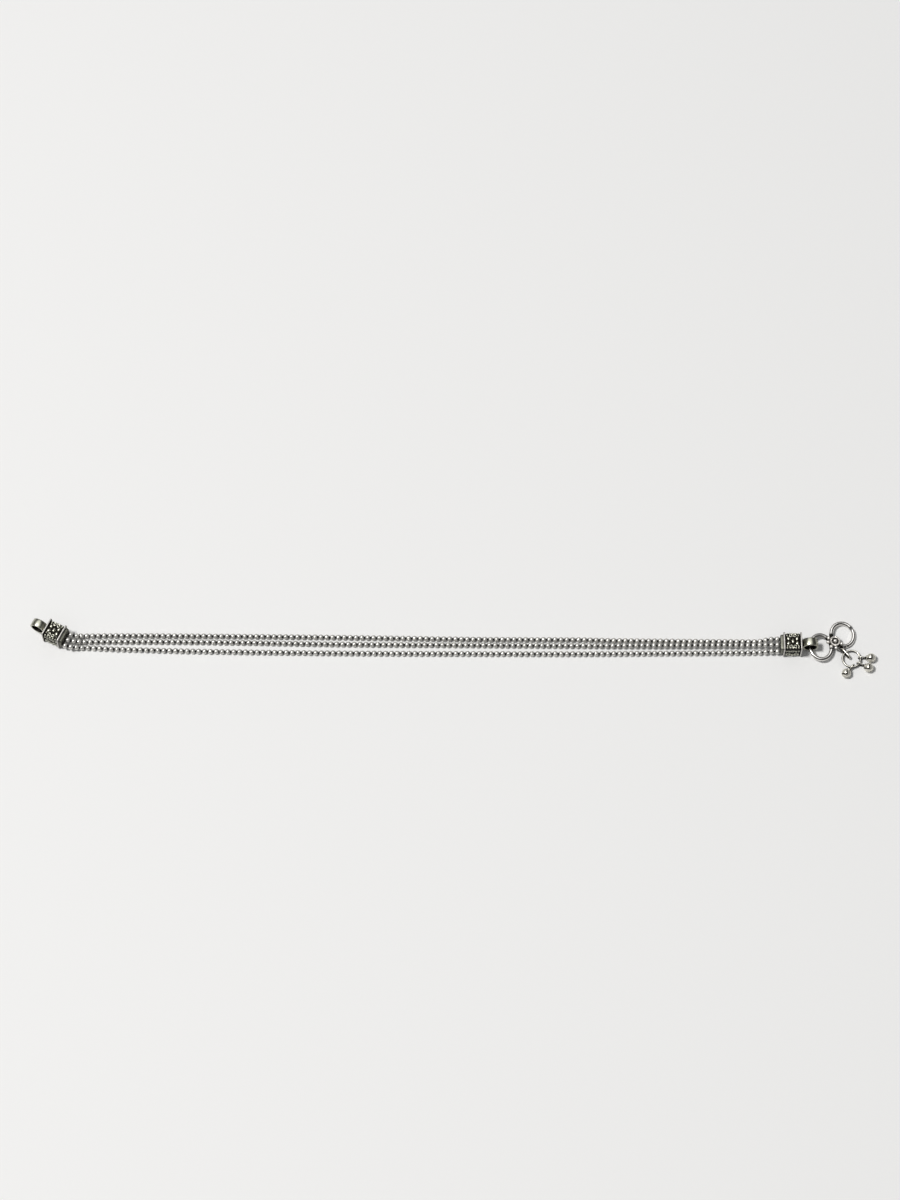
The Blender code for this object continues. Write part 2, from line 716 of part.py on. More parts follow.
def main():
    clear_scene()
    cap_silver = silver("cap_silver", (0.42, 0.41, 0.38), 0.32)
    chain_silver = silver("chain_silver", (0.62, 0.62, 0.61), 0.22)
    clasp_silver = silver("clasp_silver", (0.66, 0.65, 0.62), 0.2)
    drop_silver = silver("drop_silver", (0.6, 0.59, 0.56), 0.25)
    pieces = [
        end_cap("end_cap_left", cap_silver, True),
        end_cap("end_cap_right", cap_silver.copy(), False),
    ]
    for name in STRAND_ROUTES:
        pieces.append(strand(name, chain_silver.copy()))
    pieces.append(clasp_hook(clasp_silver))
    pieces.append(drop_link(drop_silver.copy()))
    pieces.append(drop_ring(drop_silver.copy()))
    for name, ring_angle, lean, slack in BELLS:
        pieces.append(bell(name, ring_angle, lean, slack, drop_silver.copy()))
    stand_on_origin(pieces)


main()
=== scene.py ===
"""Dresses a silver anklet: bead strands, granulated end caps, a ring clasp and a drop of bells."""

import math

import bmesh
import bpy
from mathutils import Euler, Matrix, Vector


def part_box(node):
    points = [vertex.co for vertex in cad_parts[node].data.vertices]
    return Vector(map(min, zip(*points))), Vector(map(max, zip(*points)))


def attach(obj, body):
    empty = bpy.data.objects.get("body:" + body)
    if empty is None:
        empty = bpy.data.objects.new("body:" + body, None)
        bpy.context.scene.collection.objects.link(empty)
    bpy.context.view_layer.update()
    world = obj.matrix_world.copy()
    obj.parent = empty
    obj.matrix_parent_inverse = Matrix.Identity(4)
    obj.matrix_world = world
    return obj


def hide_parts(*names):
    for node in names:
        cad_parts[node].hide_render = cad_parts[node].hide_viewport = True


bl_info = {
    "name": "Layered Anklet",
    "version": (1, 0, 0),
    "blender": (4, 5, 0),
    "location": "View3D > Sidebar > Anklet",
    "description": "Builds the bead strands, end caps, clasp, drop and stage of a silver anklet",
    "category": "Object",
}

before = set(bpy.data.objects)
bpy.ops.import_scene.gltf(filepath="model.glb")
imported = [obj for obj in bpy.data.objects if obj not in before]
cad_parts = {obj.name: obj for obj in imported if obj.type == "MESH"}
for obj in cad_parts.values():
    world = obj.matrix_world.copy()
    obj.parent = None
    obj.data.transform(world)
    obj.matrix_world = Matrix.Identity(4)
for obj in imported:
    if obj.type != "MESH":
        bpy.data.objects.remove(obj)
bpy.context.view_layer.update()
MM = 0.001
BODY = "root"
GAP = 0.3 * MM
SOLDER = 0.2 * MM

# End caps, as the solids have them
CAP_WIDTH = 6.3 * MM
CAP_LENGTH = 5.85 * MM
CAP_SPACING = 235.5 * MM
CAP_CORNER = 0.7 * MM
CAP_TURN = math.radians(26)
CAP_SHIFT = 3.8 * MM
RIM = 0.45 * MM
RIM_EDGE = 0.09 * MM
GROOVE_DEPTH = 0.55 * MM
BULGE_DEPTH = 0.35 * MM
BARREL_CORNER = 0.8 * MM
BARREL_STEPS = 12
CORNER_STEPS = 8
COLLAR_LENGTH = 0.9 * MM
COLLAR_INSET_Y = 0.4 * MM
COLLAR_INSET_Z = 1.05 * MM
COLLAR_EDGE = 0.25 * MM
BAIL_R = 2.5 * MM
BAIL_WALL = 0.6 * MM
BAIL_WIDTH = 2.6 * MM
BAIL_EDGE = 0.14 * MM
BAIL_RISE = 0.3 * MM
BAIL_STEPS = 64
STEM_LENGTH = 0.3 * MM
STEM_WIDTH = 2.0 * MM
STEM_EDGE = 0.3 * MM

# Relief of a cap face in mm: place along and across it, then three half sizes or a ring's scale
FLOWER_GRAIN = (0.0, 0.0, 0.48, 0.92, 0.45)
PETAL = (1.4, 0.8, 0.6, 0.74, 0.44)
PETAL_LEAN = math.radians(25)
FACE_RING = (0.64, 1.9, 1.0)
SIDE_BALL = (1.78, 1.78, 0.33, 0.33, 0.36)
SIDE_FACE_RELIEF = (
    (1.95, 0.9, 0.42, 0.46, 0.42), (1.05, 0.9, 0.42, 0.52, 0.42), (0.0, -1.6, 0.5, 0.6, 0.46),
    (0.0, 0.85, 1.0), (1.35, -1.45, 1.45),
)
EDGE_BALL = 0.36
EDGE_BALL_PITCH = 0.92
EDGE_BALLS = 5
EDGE_TURN = math.radians(62)
RELIEF_SINK = 0.12 * MM
GRAIN_SHINE = (-0.15, 0.35)
RING_SHINE = (-0.2, 0.4)
FACE_RING_R = 0.43 * MM
FACE_RING_WIRE = 0.19 * MM
RIM_POLISH = (0.4, 0.5, 0.5, 0.5, 0.4, 0.2)
# The collar is darkened as oxide and as painted shade between the beads and the rim
COLLAR_OXIDE_AND_SHADE = (0.3, 0.42, 0.38, 0.3)

# Strand routes: share of half the cap spacing, then y and lift in bead diameters
BEAD = 1.7 * MM
BEAD_ACROSS = 1.8 * MM
BEAD_PITCH = 1.87 * MM
BEAD_SPREAD = 0.02
# Painted shade at each bead's ends, where it meets its neighbours: its span along the bead and its
# depth
BEAD_END_SHADE_SPAN = (0.45, 0.9)
BEAD_END_SHADE = 0.9
CHAIN_WIRE = 0.27 * MM
STRAND_SPREAD = 1.147 * BEAD
ENTRY_RUN = 1.6 * MM
FINE_STEPS = 24
ROUTES = {
    "strand_back": (
        (-0.919, 2.27, 0.0), (-0.607, 2.27, 0.0), (-0.213, 1.98, 0.0), (0.149, 1.60, 0.0),
        (0.426, 1.49, 0.0), (0.535, 1.32, 0.0), (0.9, 1.09, 0.0),
    ),
    "strand_middle": (
        (-0.919, 1.05, 0.0), (-0.607, 1.03, 0.0), (-0.213, 0.58, 0.0), (0.149, 0.40, 0.0),
        (0.426, 0.25, 0.06), (0.535, 0.16, 0.32), (0.9, 0.12, 0.62),
    ),
    "strand_front": (
        (-0.919, -0.15, 0.0), (-0.838, -0.41, 0.0), (-0.607, -0.86, 0.0), (-0.213, -1.23, 0.0),
        (0.149, -1.35, 0.0), (0.426, -1.39, 0.0), (0.535, -1.34, 0.0), (0.9, -1.15, 0.0),
    ),
}
STRAND_ENDS = {
    "strand_back": (1, -0.4 * MM, -0.35 * MM),
    "strand_middle": (0, -0.45 * MM, -0.45 * MM),
    "strand_front": (-1, -0.85 * MM, -1.25 * MM),
}

# Clasp, in the plane of its two rings
CLASP_WIRE = 0.65 * MM
THREADED_RING = (3.5 * MM, 4.15 * MM)
FREE_RING = (3.67 * MM, 4.0 * MM)
CLASP_WAY = math.radians(32.8)
THREADED_OFFSET = -0.48 * MM
# Depth of the painted shade along the threaded ring's far side
FAR_SIDE_SHADE = 0.55
CLASP_STEPS = 96
CLASP_SIDES = 20
MOUTH = 0.4 * MM
MOUTH_AT = math.radians(35)
ROSETTE_SHIFT = (0.95 * MM, -0.35 * MM)
ROSETTE_R = 1.75 * MM
ROSETTE_HEIGHT = 0.95 * MM
ROPE_R = 1.38 * MM
ROPE_TWIST_R = 0.14 * MM
ROPE_WIRE = 0.21 * MM
ROPE_TURNS = 8
ROPE_SHINE = (-0.08 * MM, 0.1 * MM)
CENTRE_BALL_R = 0.64 * MM
GRANULE_R = 0.6 * MM
GRANULE_CIRCLE = 2.25 * MM
GRANULE_ANGLES = (153, 190, 236, 277, 342)
# Reach and fade of the painted shade on the rings round the rosette
ROSETTE_SHADE_R = 2.6 * MM
ROSETTE_SHADE_FADE = 0.8 * MM
EYE_R = 0.9 * MM
EYE_WIRE = 0.3 * MM
EYE_REACH = 3.1 * MM
EYE_WAY = math.radians(-47)

# Drop
LINK_LENGTH = 4.5 * MM
LINK_HEIGHT = 2.2 * MM
LINK_WIRE = 0.275 * MM
LINK_WAY = math.radians(-51)
LINK_SLACK = 0.8 * GAP
LINK_SIDES = 12
JUMP_RING_R = 2.85 * MM
JUMP_RING_WIRE = 0.3 * MM
JUMP_RING_WAY = math.radians(-45.6)
JUMP_RING_STEPS = 64
JUMP_RING_SIDES = 14
BELL_R = 1.5 * MM
BELL_WALL = 0.4 * MM
BELL_SLOT = 0.4 * MM
BELL_ROWS = 30
BELL_COLUMNS = 80
SLOT_SPAN = (0.27, 0.73)
BELL_NECK = 0.6 * MM
BELL_NECK_R = 0.5 * MM
BELL_LOOP_R = 0.94 * MM
BELL_LOOP_WIRE = 0.21 * MM
BELL_LOOP_STEPS = 32
BELL_LOOP_SIDES = 10

# The painted reflection of a dark line on a bell, in shares of its radius: its corner, top, half
# width and fade
REFLECTED_LINE_AT = (0.06, -0.1)
REFLECTED_LINE_TOP = 0.6
REFLECTED_LINE_HALF = 0.06
REFLECTED_LINE_FADE = 0.2

# Each bell's place round the jump ring, the way it points from there, and its slack
BELLS = (
    ("bell_1", math.radians(-90), math.radians(-130), 0.05 * MM),
    ("bell_2", math.radians(-37), math.radians(-26), 0.55 * MM),
    ("bell_3", math.radians(6), math.radians(-2), 0.55 * MM),
)

# Finish of the silver: noise scales for each metre, then how far each noise shows, then the levels of
# painted shade and painted highlight
CLOUD_SCALE = 900.0
SPECK_SCALE = 5200.0
RIPPLE_SCALE = 1500.0
SMEAR = 0.35
BRIGHT_SHARE_FROM = (0.12, 0.82)
STAIN = 0.22
STAIN_FROM = (0.56, 0.78)
SPECKLE = 0.1
TONE = 0.16
TONE_COLOUR = (0.36, 0.35, 0.33, 1.0)
BUMP_HEIGHT = 0.02 * MM
# Painted shade levels, and how squarely a wire's side must face for its painted highlight
PAINTED_DEEP_SHADE = 0.05
PAINTED_SHADE = 0.1
PAINTED_LIGHT_FACING = 0.8

# The photograph's view, and the light round it
CAMERA_AIM = Vector((-0.0008, 0.0179, 0.0))
CAMERA_ELEVATION = math.radians(66)
CAMERA_DISTANCE = 1.1
CAMERA_SENSOR = 24.0
VIEW_HEIGHT = 0.3864
KEY_WAY = Vector((-0.45, -0.05, 1.0))
KEY_DISTANCE = 3.0
PANEL_AT = (-0.2, 0.4)
PANEL_HALF = (0.36, 0.55)
PANEL_FADE = 0.35
HORIZON = (0.02, 0.3)
KEY_COLOUR = (1.0, 0.99, 0.975)
FILL_COLOUR = (0.97, 0.98, 1.0, 1.0)
BACKDROP = (0.83, 0.83, 0.825, 1.0)
FLOOR_REACH = 4.0
SHARP = math.radians(40)


def plan_way(angle):
    """The unit vector at this angle in the XY plane."""
    return Vector((math.cos(angle), math.sin(angle), 0))


def turned(angle, axis):
    return Matrix.Rotation(angle, 4, axis)


def at(*place):
    return Matrix.Translation(Vector(place) if len(place) == 3 else place[0])


# Where the solids stand: the right cap's box gives the way from the sizes above to the frame
CAP_LOW = Vector((CAP_SPACING / 2 - CAP_LENGTH / 2 - COLLAR_LENGTH, -CAP_WIDTH / 2, 0))
WORLD = at(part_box("end_cap_right")[0] - CAP_LOW)


class Socket:
    """A value in a node tree that ordinary operators work on."""

    def __init__(self, tree, socket):
        self.tree = tree
        self.socket = socket

    def _math(self, operation, first, second=0.0):
        return self.tree.add("ShaderNodeMath", {"operation": operation}, [first, second])

    def __add__(self, other):
        return self._math("ADD", self, other)

    __radd__ = __add__

    def __sub__(self, other):
        return self._math("SUBTRACT", self, other)

    def __rsub__(self, other):
        return self._math("SUBTRACT", other, self)

    def __mul__(self, other):
        return self._math("MULTIPLY", self, other)

    __rmul__ = __mul__

    def __truediv__(self, other):
        return self._math("DIVIDE", self, other)

    def __abs__(self):
        return self._math("ABSOLUTE", self)

    def __lt__(self, other):
        return self._math("LESS_THAN", self, other)

    def __gt__(self, other):
        return self._math("GREATER_THAN", self, other)

    def cosine(self):
        return self._math("COSINE", self)

    def sine(self):
        return self._math("SINE", self)

    def between(self, low, high):
        """0 below low, 1 above high and smooth between them."""
        return self.tree.add(
            "ShaderNodeMapRange",
            {"interpolation_type": "SMOOTHSTEP"},
            {"Value": self, "From Min": low, "From Max": high},
        )


class Tree:
    """A node tree that is filled by one method."""

    def __init__(self, tree):
        self.tree = tree

    def add(self, kind, settings=None, inputs=None, output=0):
        """Adds a node with its settings, then its inputs by name or in order."""
        node = self.tree.nodes.new(kind)
        for name, value in (settings or {}).items():
            if name == "stops":
                self._stops(node.color_ramp, value)
            else:
                setattr(node, name, value)
        if isinstance(inputs, dict):
            pairs = [(self._named(node.inputs, name), value) for name, value in inputs.items()]
        else:
            pairs = list(zip(node.inputs, inputs or ()))
        for socket, value in pairs:
            self.feed(socket, value)
        return Socket(self, self._named(node.outputs, output)) if node.outputs else None

    def feed(self, socket, value):
        """Links or sets one input, which takes several links where it is a list."""
        if isinstance(value, Socket):
            self.tree.links.new(value.socket, socket)
        elif isinstance(value, list):
            for each in value:
                self.tree.links.new(each.socket, socket)
        elif value is not None:
            socket.default_value = value

    @staticmethod
    def _named(sockets, name):
        if isinstance(name, int):
            return sockets[name]
        return next(s for s in sockets if s.name == name and s.enabled)

    @staticmethod
    def _stops(ramp, stops):
        while len(ramp.elements) < len(stops):
            ramp.elements.new(1.0)
        for element, (place, colour) in zip(ramp.elements, stops):
            element.position = place
            element.color = colour

    def mix(self, share, first, second):
        """A colour between two colours."""
        settings = {"data_type": "RGBA", "clamp_factor": True}
        return self.add("ShaderNodeMix", settings, {0: share, 6: first, 7: second}, 2)

    def attribute(self, name):
        return self.add("ShaderNodeAttribute", {"attribute_name": name}, None, "Fac")

    def noise(self, place, scale, detail=2.0):
        inputs = {"Vector": place, "Scale": scale, "Detail": detail}
        return self.add("ShaderNodeTexNoise", None, inputs, "Fac")


def colour4(colour):
    return (*tuple(colour)[:3], 1.0)


def blank(owner):
    """A material or a world with an empty node tree."""
    owner.use_nodes = True
    owner.node_tree.nodes.clear()
    return owner, Tree(owner.node_tree)


def linked(name, data):
    """A new object in the scene."""
    made = bpy.data.objects.new(name, data)
    bpy.context.scene.collection.objects.link(made)
    return made


def silver(name, bright, dark, gloss, dull, grain=0.5, metal=1.0):
    """Polished silver with blackened hollows, painted shade and painted highlights, as the mesh's
    polish values say.
    """
    material, tree = blank(bpy.data.materials.new(name))
    place = tree.add("ShaderNodeTexCoord", None, None, "Object")
    polish = tree.attribute("polish")
    tone = tree.attribute("tone")
    cloud = tree.noise(place, CLOUD_SCALE, 3.0)
    speck = tree.noise(place, SPECK_SCALE)
    bright_share = (polish + (cloud - 0.5) * SMEAR * (1.0 - polish)).between(*BRIGHT_SHARE_FROM)
    stain = cloud.between(*STAIN_FROM) * STAIN * bright_share
    stained = tree.mix(stain, colour4(bright), colour4(dark))
    base = tree.mix(bright_share, colour4(dark), tree.mix(tone * TONE, stained, TONE_COLOUR))
    rough = dull + (gloss - dull) * bright_share + (speck - 0.5) * SPECKLE
    metallic = 1.0 - (1.0 - metal) * bright_share
    height = tree.noise(place, RIPPLE_SCALE, 1.0) * 0.6 + speck * 0.4
    bump = {"Strength": grain, "Distance": BUMP_HEIGHT, "Height": height}
    normal = tree.add("ShaderNodeBump", None, bump)
    shader = tree.add("ShaderNodeBsdfPrincipled", None, {
        "Base Color": base, "Metallic": metallic, "Roughness": rough, "Normal": normal,
    })
    tree.add("ShaderNodeOutputMaterial", None, {"Surface": shader})
    return material


class Form:
    """A mesh in the making that keeps how polished each point is, painted shade and highlights
    included.
    """

    def __init__(self):
        self.bm = bmesh.new()
        self.polish = self.bm.verts.layers.float.new("polish")
        self.tone = self.bm.verts.layers.float.new("tone")

    def skin(self, loops, polish=1.0, ring=False, matrix=None):
        """A surface through loops of points, closed round and closed or capped along."""
        shares = polish if isinstance(polish, (list, tuple)) else [polish] * len(loops)
        rows = []
        for loop, share in zip(loops, shares):
            each = share if isinstance(share, (list, tuple)) else [share] * len(loop)
            row = []
            for point, value in zip(loop, each):
                vertex = self.bm.verts.new(matrix @ point if matrix else point)
                vertex[self.polish] = value
                row.append(vertex)
            rows.append(row)
        count = len(rows)
        made = []
        for i in range(count if ring else count - 1):
            first, second = rows[i], rows[(i + 1) % count]
            for j in range(len(first)):
                k = (j + 1) % len(first)
                made.append(self.bm.faces.new((first[j], first[k], second[k], second[j])))
        if not ring:
            made += [self.bm.faces.new(rows[0]), self.bm.faces.new(rows[-1])]
        bmesh.ops.recalc_face_normals(self.bm, faces=made)

    def ball(self, radius, matrix, segments=20, rings=12, dark_below=-1.2):
        """A ball with painted shade on its underside, below this share of its radius."""
        made = bmesh.ops.create_uvsphere(
            self.bm, u_segments=segments, v_segments=rings, radius=radius, matrix=matrix
        )
        inside = matrix.inverted()
        for vertex in made["verts"]:
            height = (inside @ vertex.co).z / radius
            vertex[self.polish] = min(1.0, max(0.0, (height - dark_below) / 0.3))

    def add(self, mesh):
        """Takes in a finished mesh, which is used up."""
        self.bm.from_mesh(mesh)
        bpy.data.meshes.remove(mesh)

    def paint(self, start, index):
        """Gives the faces from this one on a further material."""
        self.bm.faces.ensure_lookup_table()
        for face in self.bm.faces[start:]:
            face.material_index = index

    def piece(self, name, materials):
        """The object in its place, with its materials."""
        mesh = bpy.data.meshes.new(name)
        self.bm.to_mesh(mesh)
        self.bm.free()
        for material in materials:
            mesh.materials.append(material)
        mesh.shade_smooth()
        mesh.set_sharp_from_angle(angle=SHARP)
        return linked(name, mesh)


def stand_for(piece, node):
    """The piece replaces a solid and moves with it."""
    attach(piece, BODY)
    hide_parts(node)


def ellipse(a, b, steps):
    angles = [2 * math.pi * i / steps for i in range(steps)]
    return [Vector((a * math.cos(t), b * math.sin(t), 0)) for t in angles]


def arc(a, b, steps, start, end):
    angles = [start + (end - start) * i / steps for i in range(steps + 1)]
    return [Vector((a * math.cos(t), b * math.sin(t), 0)) for t in angles]


def ellipse_reach(a, b, angle):
    """How far an ellipse reaches from its centre in one direction."""
    return 1 / math.hypot(math.cos(angle) / a, math.sin(angle) / b)


def round_wire(path, radius, sides=16, ring=True, radii=None):
    """Loops of a round wire along a flat path, with a radius for each point where they differ."""
    loops = []
    count = len(path)
    for i, point in enumerate(path):
        before = path[i - 1] if ring or i > 0 else point
        after = path[(i + 1) % count] if ring or i < count - 1 else point
        outward = (after - before).normalized().cross(Vector((0, 0, 1)))
        size = radii[i] if radii else radius
        loops.append([
            point + size * (outward * math.cos(t) + Vector((0, 0, math.sin(t))))
            for t in (2 * math.pi * j / sides for j in range(sides))
        ])
    return loops


def rounded_square(x, half_y, half_z, corner, steps=CORNER_STEPS):
    """A rounded rectangle in the plane across the X axis."""
    points = []
    for quarter, (side_y, side_z) in enumerate(((1, 1), (-1, 1), (-1, -1), (1, -1))):
        centre = Vector((x, side_y * (half_y - corner), side_z * (half_z - corner)))
        for step in range(steps + 1):
            angle = math.pi / 2 * (quarter + step / steps)
            points.append(centre + corner * Vector((0, math.cos(angle), math.sin(angle))))
    return points


def group(name, inputs):
    """A Geometry Nodes tree with these inputs, its Tree and the wrapped input sockets."""
    tree = bpy.data.node_groups.new(name, "GeometryNodeTree")
    tree.interface.new_socket("Geometry", in_out="INPUT", socket_type="NodeSocketGeometry")
    for label, kind, default in inputs:
        socket = tree.interface.new_socket(label, in_out="INPUT", socket_type=kind)
        if default is not None:
            socket.default_value = default
    tree.interface.new_socket("Geometry", in_out="OUTPUT", socket_type="NodeSocketGeometry")
    maker = Tree(tree)
    entry = tree.nodes.new("NodeGroupInput")
    sockets = {s.name: Socket(maker, s) for s in entry.outputs if s.name}
    return tree, maker, sockets


def close_group(maker, parts, material):
    """Ends a tree in plain geometry with its material."""
    joined = maker.add("GeometryNodeJoinGeometry", None, {"Geometry": parts})
    real = maker.add("GeometryNodeRealizeInstances", None, {"Geometry": joined})
    dressed = maker.add(
        "GeometryNodeSetMaterial", None, {"Geometry": real, "Material": material}
    )
    maker.add("NodeGroupOutput", None, [dressed])


def grown(name, mesh, tree, values):
    """The plain mesh that a tree makes of a mesh, with its inputs set by identifier."""
    carrier = linked(name, mesh)
    modifier = carrier.modifiers.new(name, "NODES")
    modifier.node_group = tree
    for item in tree.interface.items_tree:
        if item.in_out == "INPUT" and item.name in values:
            modifier[item.identifier] = values[item.name]
    graph = bpy.context.evaluated_depsgraph_get()
    graph.update()
    result = bpy.data.meshes.new_from_object(carrier.evaluated_get(graph))
    carrier.modifiers.clear()
    bpy.data.objects.remove(carrier, do_unlink=True)
    bpy.data.meshes.remove(mesh)
    return result


def unit_ball(maker, segments, rings):
    inputs = {"Segments": segments, "Rings": rings, "Radius": 1.0}
    return maker.add("GeometryNodeMeshUVSphere", None, inputs)


def circle_line(maker, resolution, radius):
    inputs = {"Resolution": resolution, "Radius": radius}
    return maker.add("GeometryNodeCurvePrimitiveCircle", None, inputs, "Curve")


def drawn_wire(maker, line, profile, caps=False):
    """A mesh of a profile that runs along a line."""
    inputs = {"Curve": line, "Profile Curve": profile, "Fill Caps": caps}
    return maker.add("GeometryNodeCurveToMesh", None, inputs)


def height_of_points(maker):
    place = maker.add("GeometryNodeInputPosition")
    return maker.add("ShaderNodeSeparateXYZ", None, [place], "Z")


def random_value(maker, low, high, seed):
    inputs = {"Min": low, "Max": high, "Seed": seed}
    return maker.add("FunctionNodeRandomValue", {"data_type": "FLOAT"}, inputs, "Value")


def stood(maker, points, instance, turn, size, chosen=None):
    """Copies that stand on points, or on the chosen ones."""
    return maker.add("GeometryNodeInstanceOnPoints", None, {
        "Points": points, "Selection": chosen, "Instance": instance, "Rotation": turn,
        "Scale": size,
    })


def marked(maker, geometry, name, value, domain="POINT"):
    """Geometry that carries a number at each of its points or instances."""
    settings = {"data_type": "FLOAT", "domain": domain}
    inputs = {"Geometry": geometry, "Name": name, "Value": value}
    return maker.add("GeometryNodeStoreNamedAttribute", settings, inputs)


def strand_tree():
    """Beads at an even pitch along a line, on a thin wire."""
    tree, maker, given = group("Bead Strand", (
        ("Bead Radius", "NodeSocketFloat", BEAD_ACROSS / 2),
        ("Bead Pitch", "NodeSocketFloat", BEAD_PITCH),
        ("Wire Radius", "NodeSocketFloat", CHAIN_WIRE),
        ("End Margin", "NodeSocketFloat", SOLDER + BEAD_ACROSS / 2),
        ("Size Spread", "NodeSocketFloat", BEAD_SPREAD),
        ("Seed", "NodeSocketInt", 7),
        ("Material", "NodeSocketMaterial", None),
    ))
    line = maker.add("GeometryNodeMeshToCurve", None, {"Mesh": given["Geometry"]})
    length = maker.add("GeometryNodeCurveLength", None, {"Curve": line})
    margin = given["End Margin"]
    trimmed = maker.add(
        "GeometryNodeTrimCurve", {"mode": "LENGTH"}, {0: line, 4: margin, 5: length - margin}
    )
    # One bead more than the pitches that fit, to the nearest whole number
    count = (length - 2.0 * margin) / given["Bead Pitch"] + 1.5
    spots = maker.add("GeometryNodeResampleCurve", None, {"Curve": trimmed, "Count": count})
    # Painted shade darkens each bead's ends, where the beads meet
    shaded_ends = abs(height_of_points(maker)).between(*BEAD_END_SHADE_SPAN)
    ball = marked(maker, unit_ball(maker, 14, 9), "polish", 1.0 - shaded_ends * BEAD_END_SHADE)
    tangent = maker.add("GeometryNodeInputTangent")
    turn = maker.add("FunctionNodeAlignRotationToVector", {"axis": "Z"}, {"Vector": tangent})
    size = random_value(maker, 1.0 - given["Size Spread"], 1.0, given["Seed"])
    beads = stood(maker, spots, ball, turn, size * given["Bead Radius"])
    tone = random_value(maker, 0.0, 1.0, given["Seed"] + 1.0)
    beads = marked(maker, beads, "tone", tone, "INSTANCE")
    coarse = maker.add("GeometryNodeResampleCurve", None, {"Curve": line, "Count": count})
    wire = drawn_wire(maker, coarse, circle_line(maker, 8, given["Wire Radius"]), True)
    # Painted shade on the wire between the beads
    wire = marked(maker, wire, "polish", PAINTED_SHADE)
    close_group(maker, [beads, wire], given["Material"])
    return tree


def granule_tree():
    """Grains and small rings that stand on marked points of a cap."""
    tree, maker, given = group("Granulation", (
        ("Ring Radius", "NodeSocketFloat", FACE_RING_R),
        ("Ring Wire", "NodeSocketFloat", FACE_RING_WIRE),
        ("Seed", "NodeSocketInt", 3),
        ("Material", "NodeSocketMaterial", None),
    ))

    def kept(name, kind):
        """A value that each of the cap's points carries."""
        return maker.add("GeometryNodeInputNamedAttribute", {"data_type": kind}, {"Name": name})

    turn = maker.add("FunctionNodeEulerToRotation", None, [kept("turn", "FLOAT_VECTOR")])
    size = kept("size", "FLOAT_VECTOR")
    is_ring = kept("is_ring", "FLOAT")
    points = maker.add("GeometryNodeMeshToPoints", None, {"Mesh": given["Geometry"]})
    height = height_of_points(maker)
    grain = marked(maker, unit_ball(maker, 16, 10), "polish", height.between(*GRAIN_SHINE))
    circle = circle_line(maker, 20, given["Ring Radius"])
    ring = drawn_wire(maker, circle, circle_line(maker, 10, given["Ring Wire"]))
    height = height / given["Ring Wire"]
    ring = marked(maker, ring, "polish", height.between(*RING_SHINE))
    grains = stood(maker, points, grain, turn, size, is_ring < 0.5)
    rings = stood(maker, points, ring, turn, size, is_ring > 0.5)
    tone = random_value(maker, 0.0, 1.0, given["Seed"])
    parts = [marked(maker, part, "tone", tone, "INSTANCE") for part in (grains, rings)]
    close_group(maker, parts, given["Material"])
    return tree


def rope_tree():
    """A ring of twisted wires: each runs round the ring's circle in a helix."""
    tree, maker, given = group("Twisted Ring", (
        ("Ring Radius", "NodeSocketFloat", ROPE_R),
        ("Twist Radius", "NodeSocketFloat", ROPE_TWIST_R),
        ("Wire Radius", "NodeSocketFloat", ROPE_WIRE),
        ("Turns", "NodeSocketFloat", float(ROPE_TURNS)),
        ("Material", "NodeSocketMaterial", None),
    ))
    profile = circle_line(maker, 8, given["Wire Radius"])
    parts = []
    for phase in (0.0, math.pi):
        circle = circle_line(maker, 144, given["Ring Radius"])
        share = maker.add("GeometryNodeSplineParameter", None, None, "Factor")
        angle = share * given["Turns"] * (2 * math.pi) + phase
        place = maker.add("GeometryNodeInputPosition")
        outward = maker.add("ShaderNodeVectorMath", {"operation": "NORMALIZE"}, [place])
        reach = angle.cosine() * given["Twist Radius"]
        sideways = maker.add(
            "ShaderNodeVectorMath", {"operation": "SCALE"}, {"Vector": outward, "Scale": reach}
        )
        height = angle.sine() * given["Twist Radius"]
        rise = maker.add("ShaderNodeCombineXYZ", None, {"Z": height})
        offset = maker.add("ShaderNodeVectorMath", {"operation": "ADD"}, [sideways, rise])
        moved = {"Geometry": circle, "Offset": offset}
        helix = maker.add("GeometryNodeSetPosition", None, moved)
        parts.append(drawn_wire(maker, helix, profile))
    joined = maker.add("GeometryNodeJoinGeometry", None, {"Geometry": parts})
    shine = height_of_points(maker).between(*ROPE_SHINE)
    close_group(maker, [marked(maker, joined, "polish", shine)], given["Material"])
    return tree


def cap_place(left):
    """Where a cap stands, with +X of its own frame towards its bail."""
    if left:
        turn = turned(math.pi - CAP_TURN, "Z")
        return WORLD @ at(-CAP_SPACING / 2, CAP_SHIFT, CAP_WIDTH / 2) @ turn
    return WORLD @ at(CAP_SPACING / 2, 0, CAP_WIDTH / 2)


def barrel_half(u):
    """Half the width of a cap between its rims, at u along it."""
    share = min(1.0, abs(u) / (CAP_LENGTH / 2 - RIM))
    return CAP_WIDTH / 2 - BULGE_DEPTH - (GROOVE_DEPTH - BULGE_DEPTH) * share**4


def on_face(quarter, u, s, sink, turn=0.0):
    """The frame of a spot on a cap face, s across it and round the corner, Z pointing out."""
    half = barrel_half(u)
    flat = half - BARREL_CORNER
    past = max(0.0, abs(s) - flat)
    angle = math.copysign(past / BARREL_CORNER, s)
    across = math.copysign(min(abs(s), flat), s) + BARREL_CORNER * math.sin(angle)
    height = flat + BARREL_CORNER * math.cos(angle)
    spot = at(u, across, height) @ turned(-angle, "X")
    return turned(math.pi / 2 * quarter, "X") @ spot @ at(0, 0, -sink) @ turned(turn, "Z")


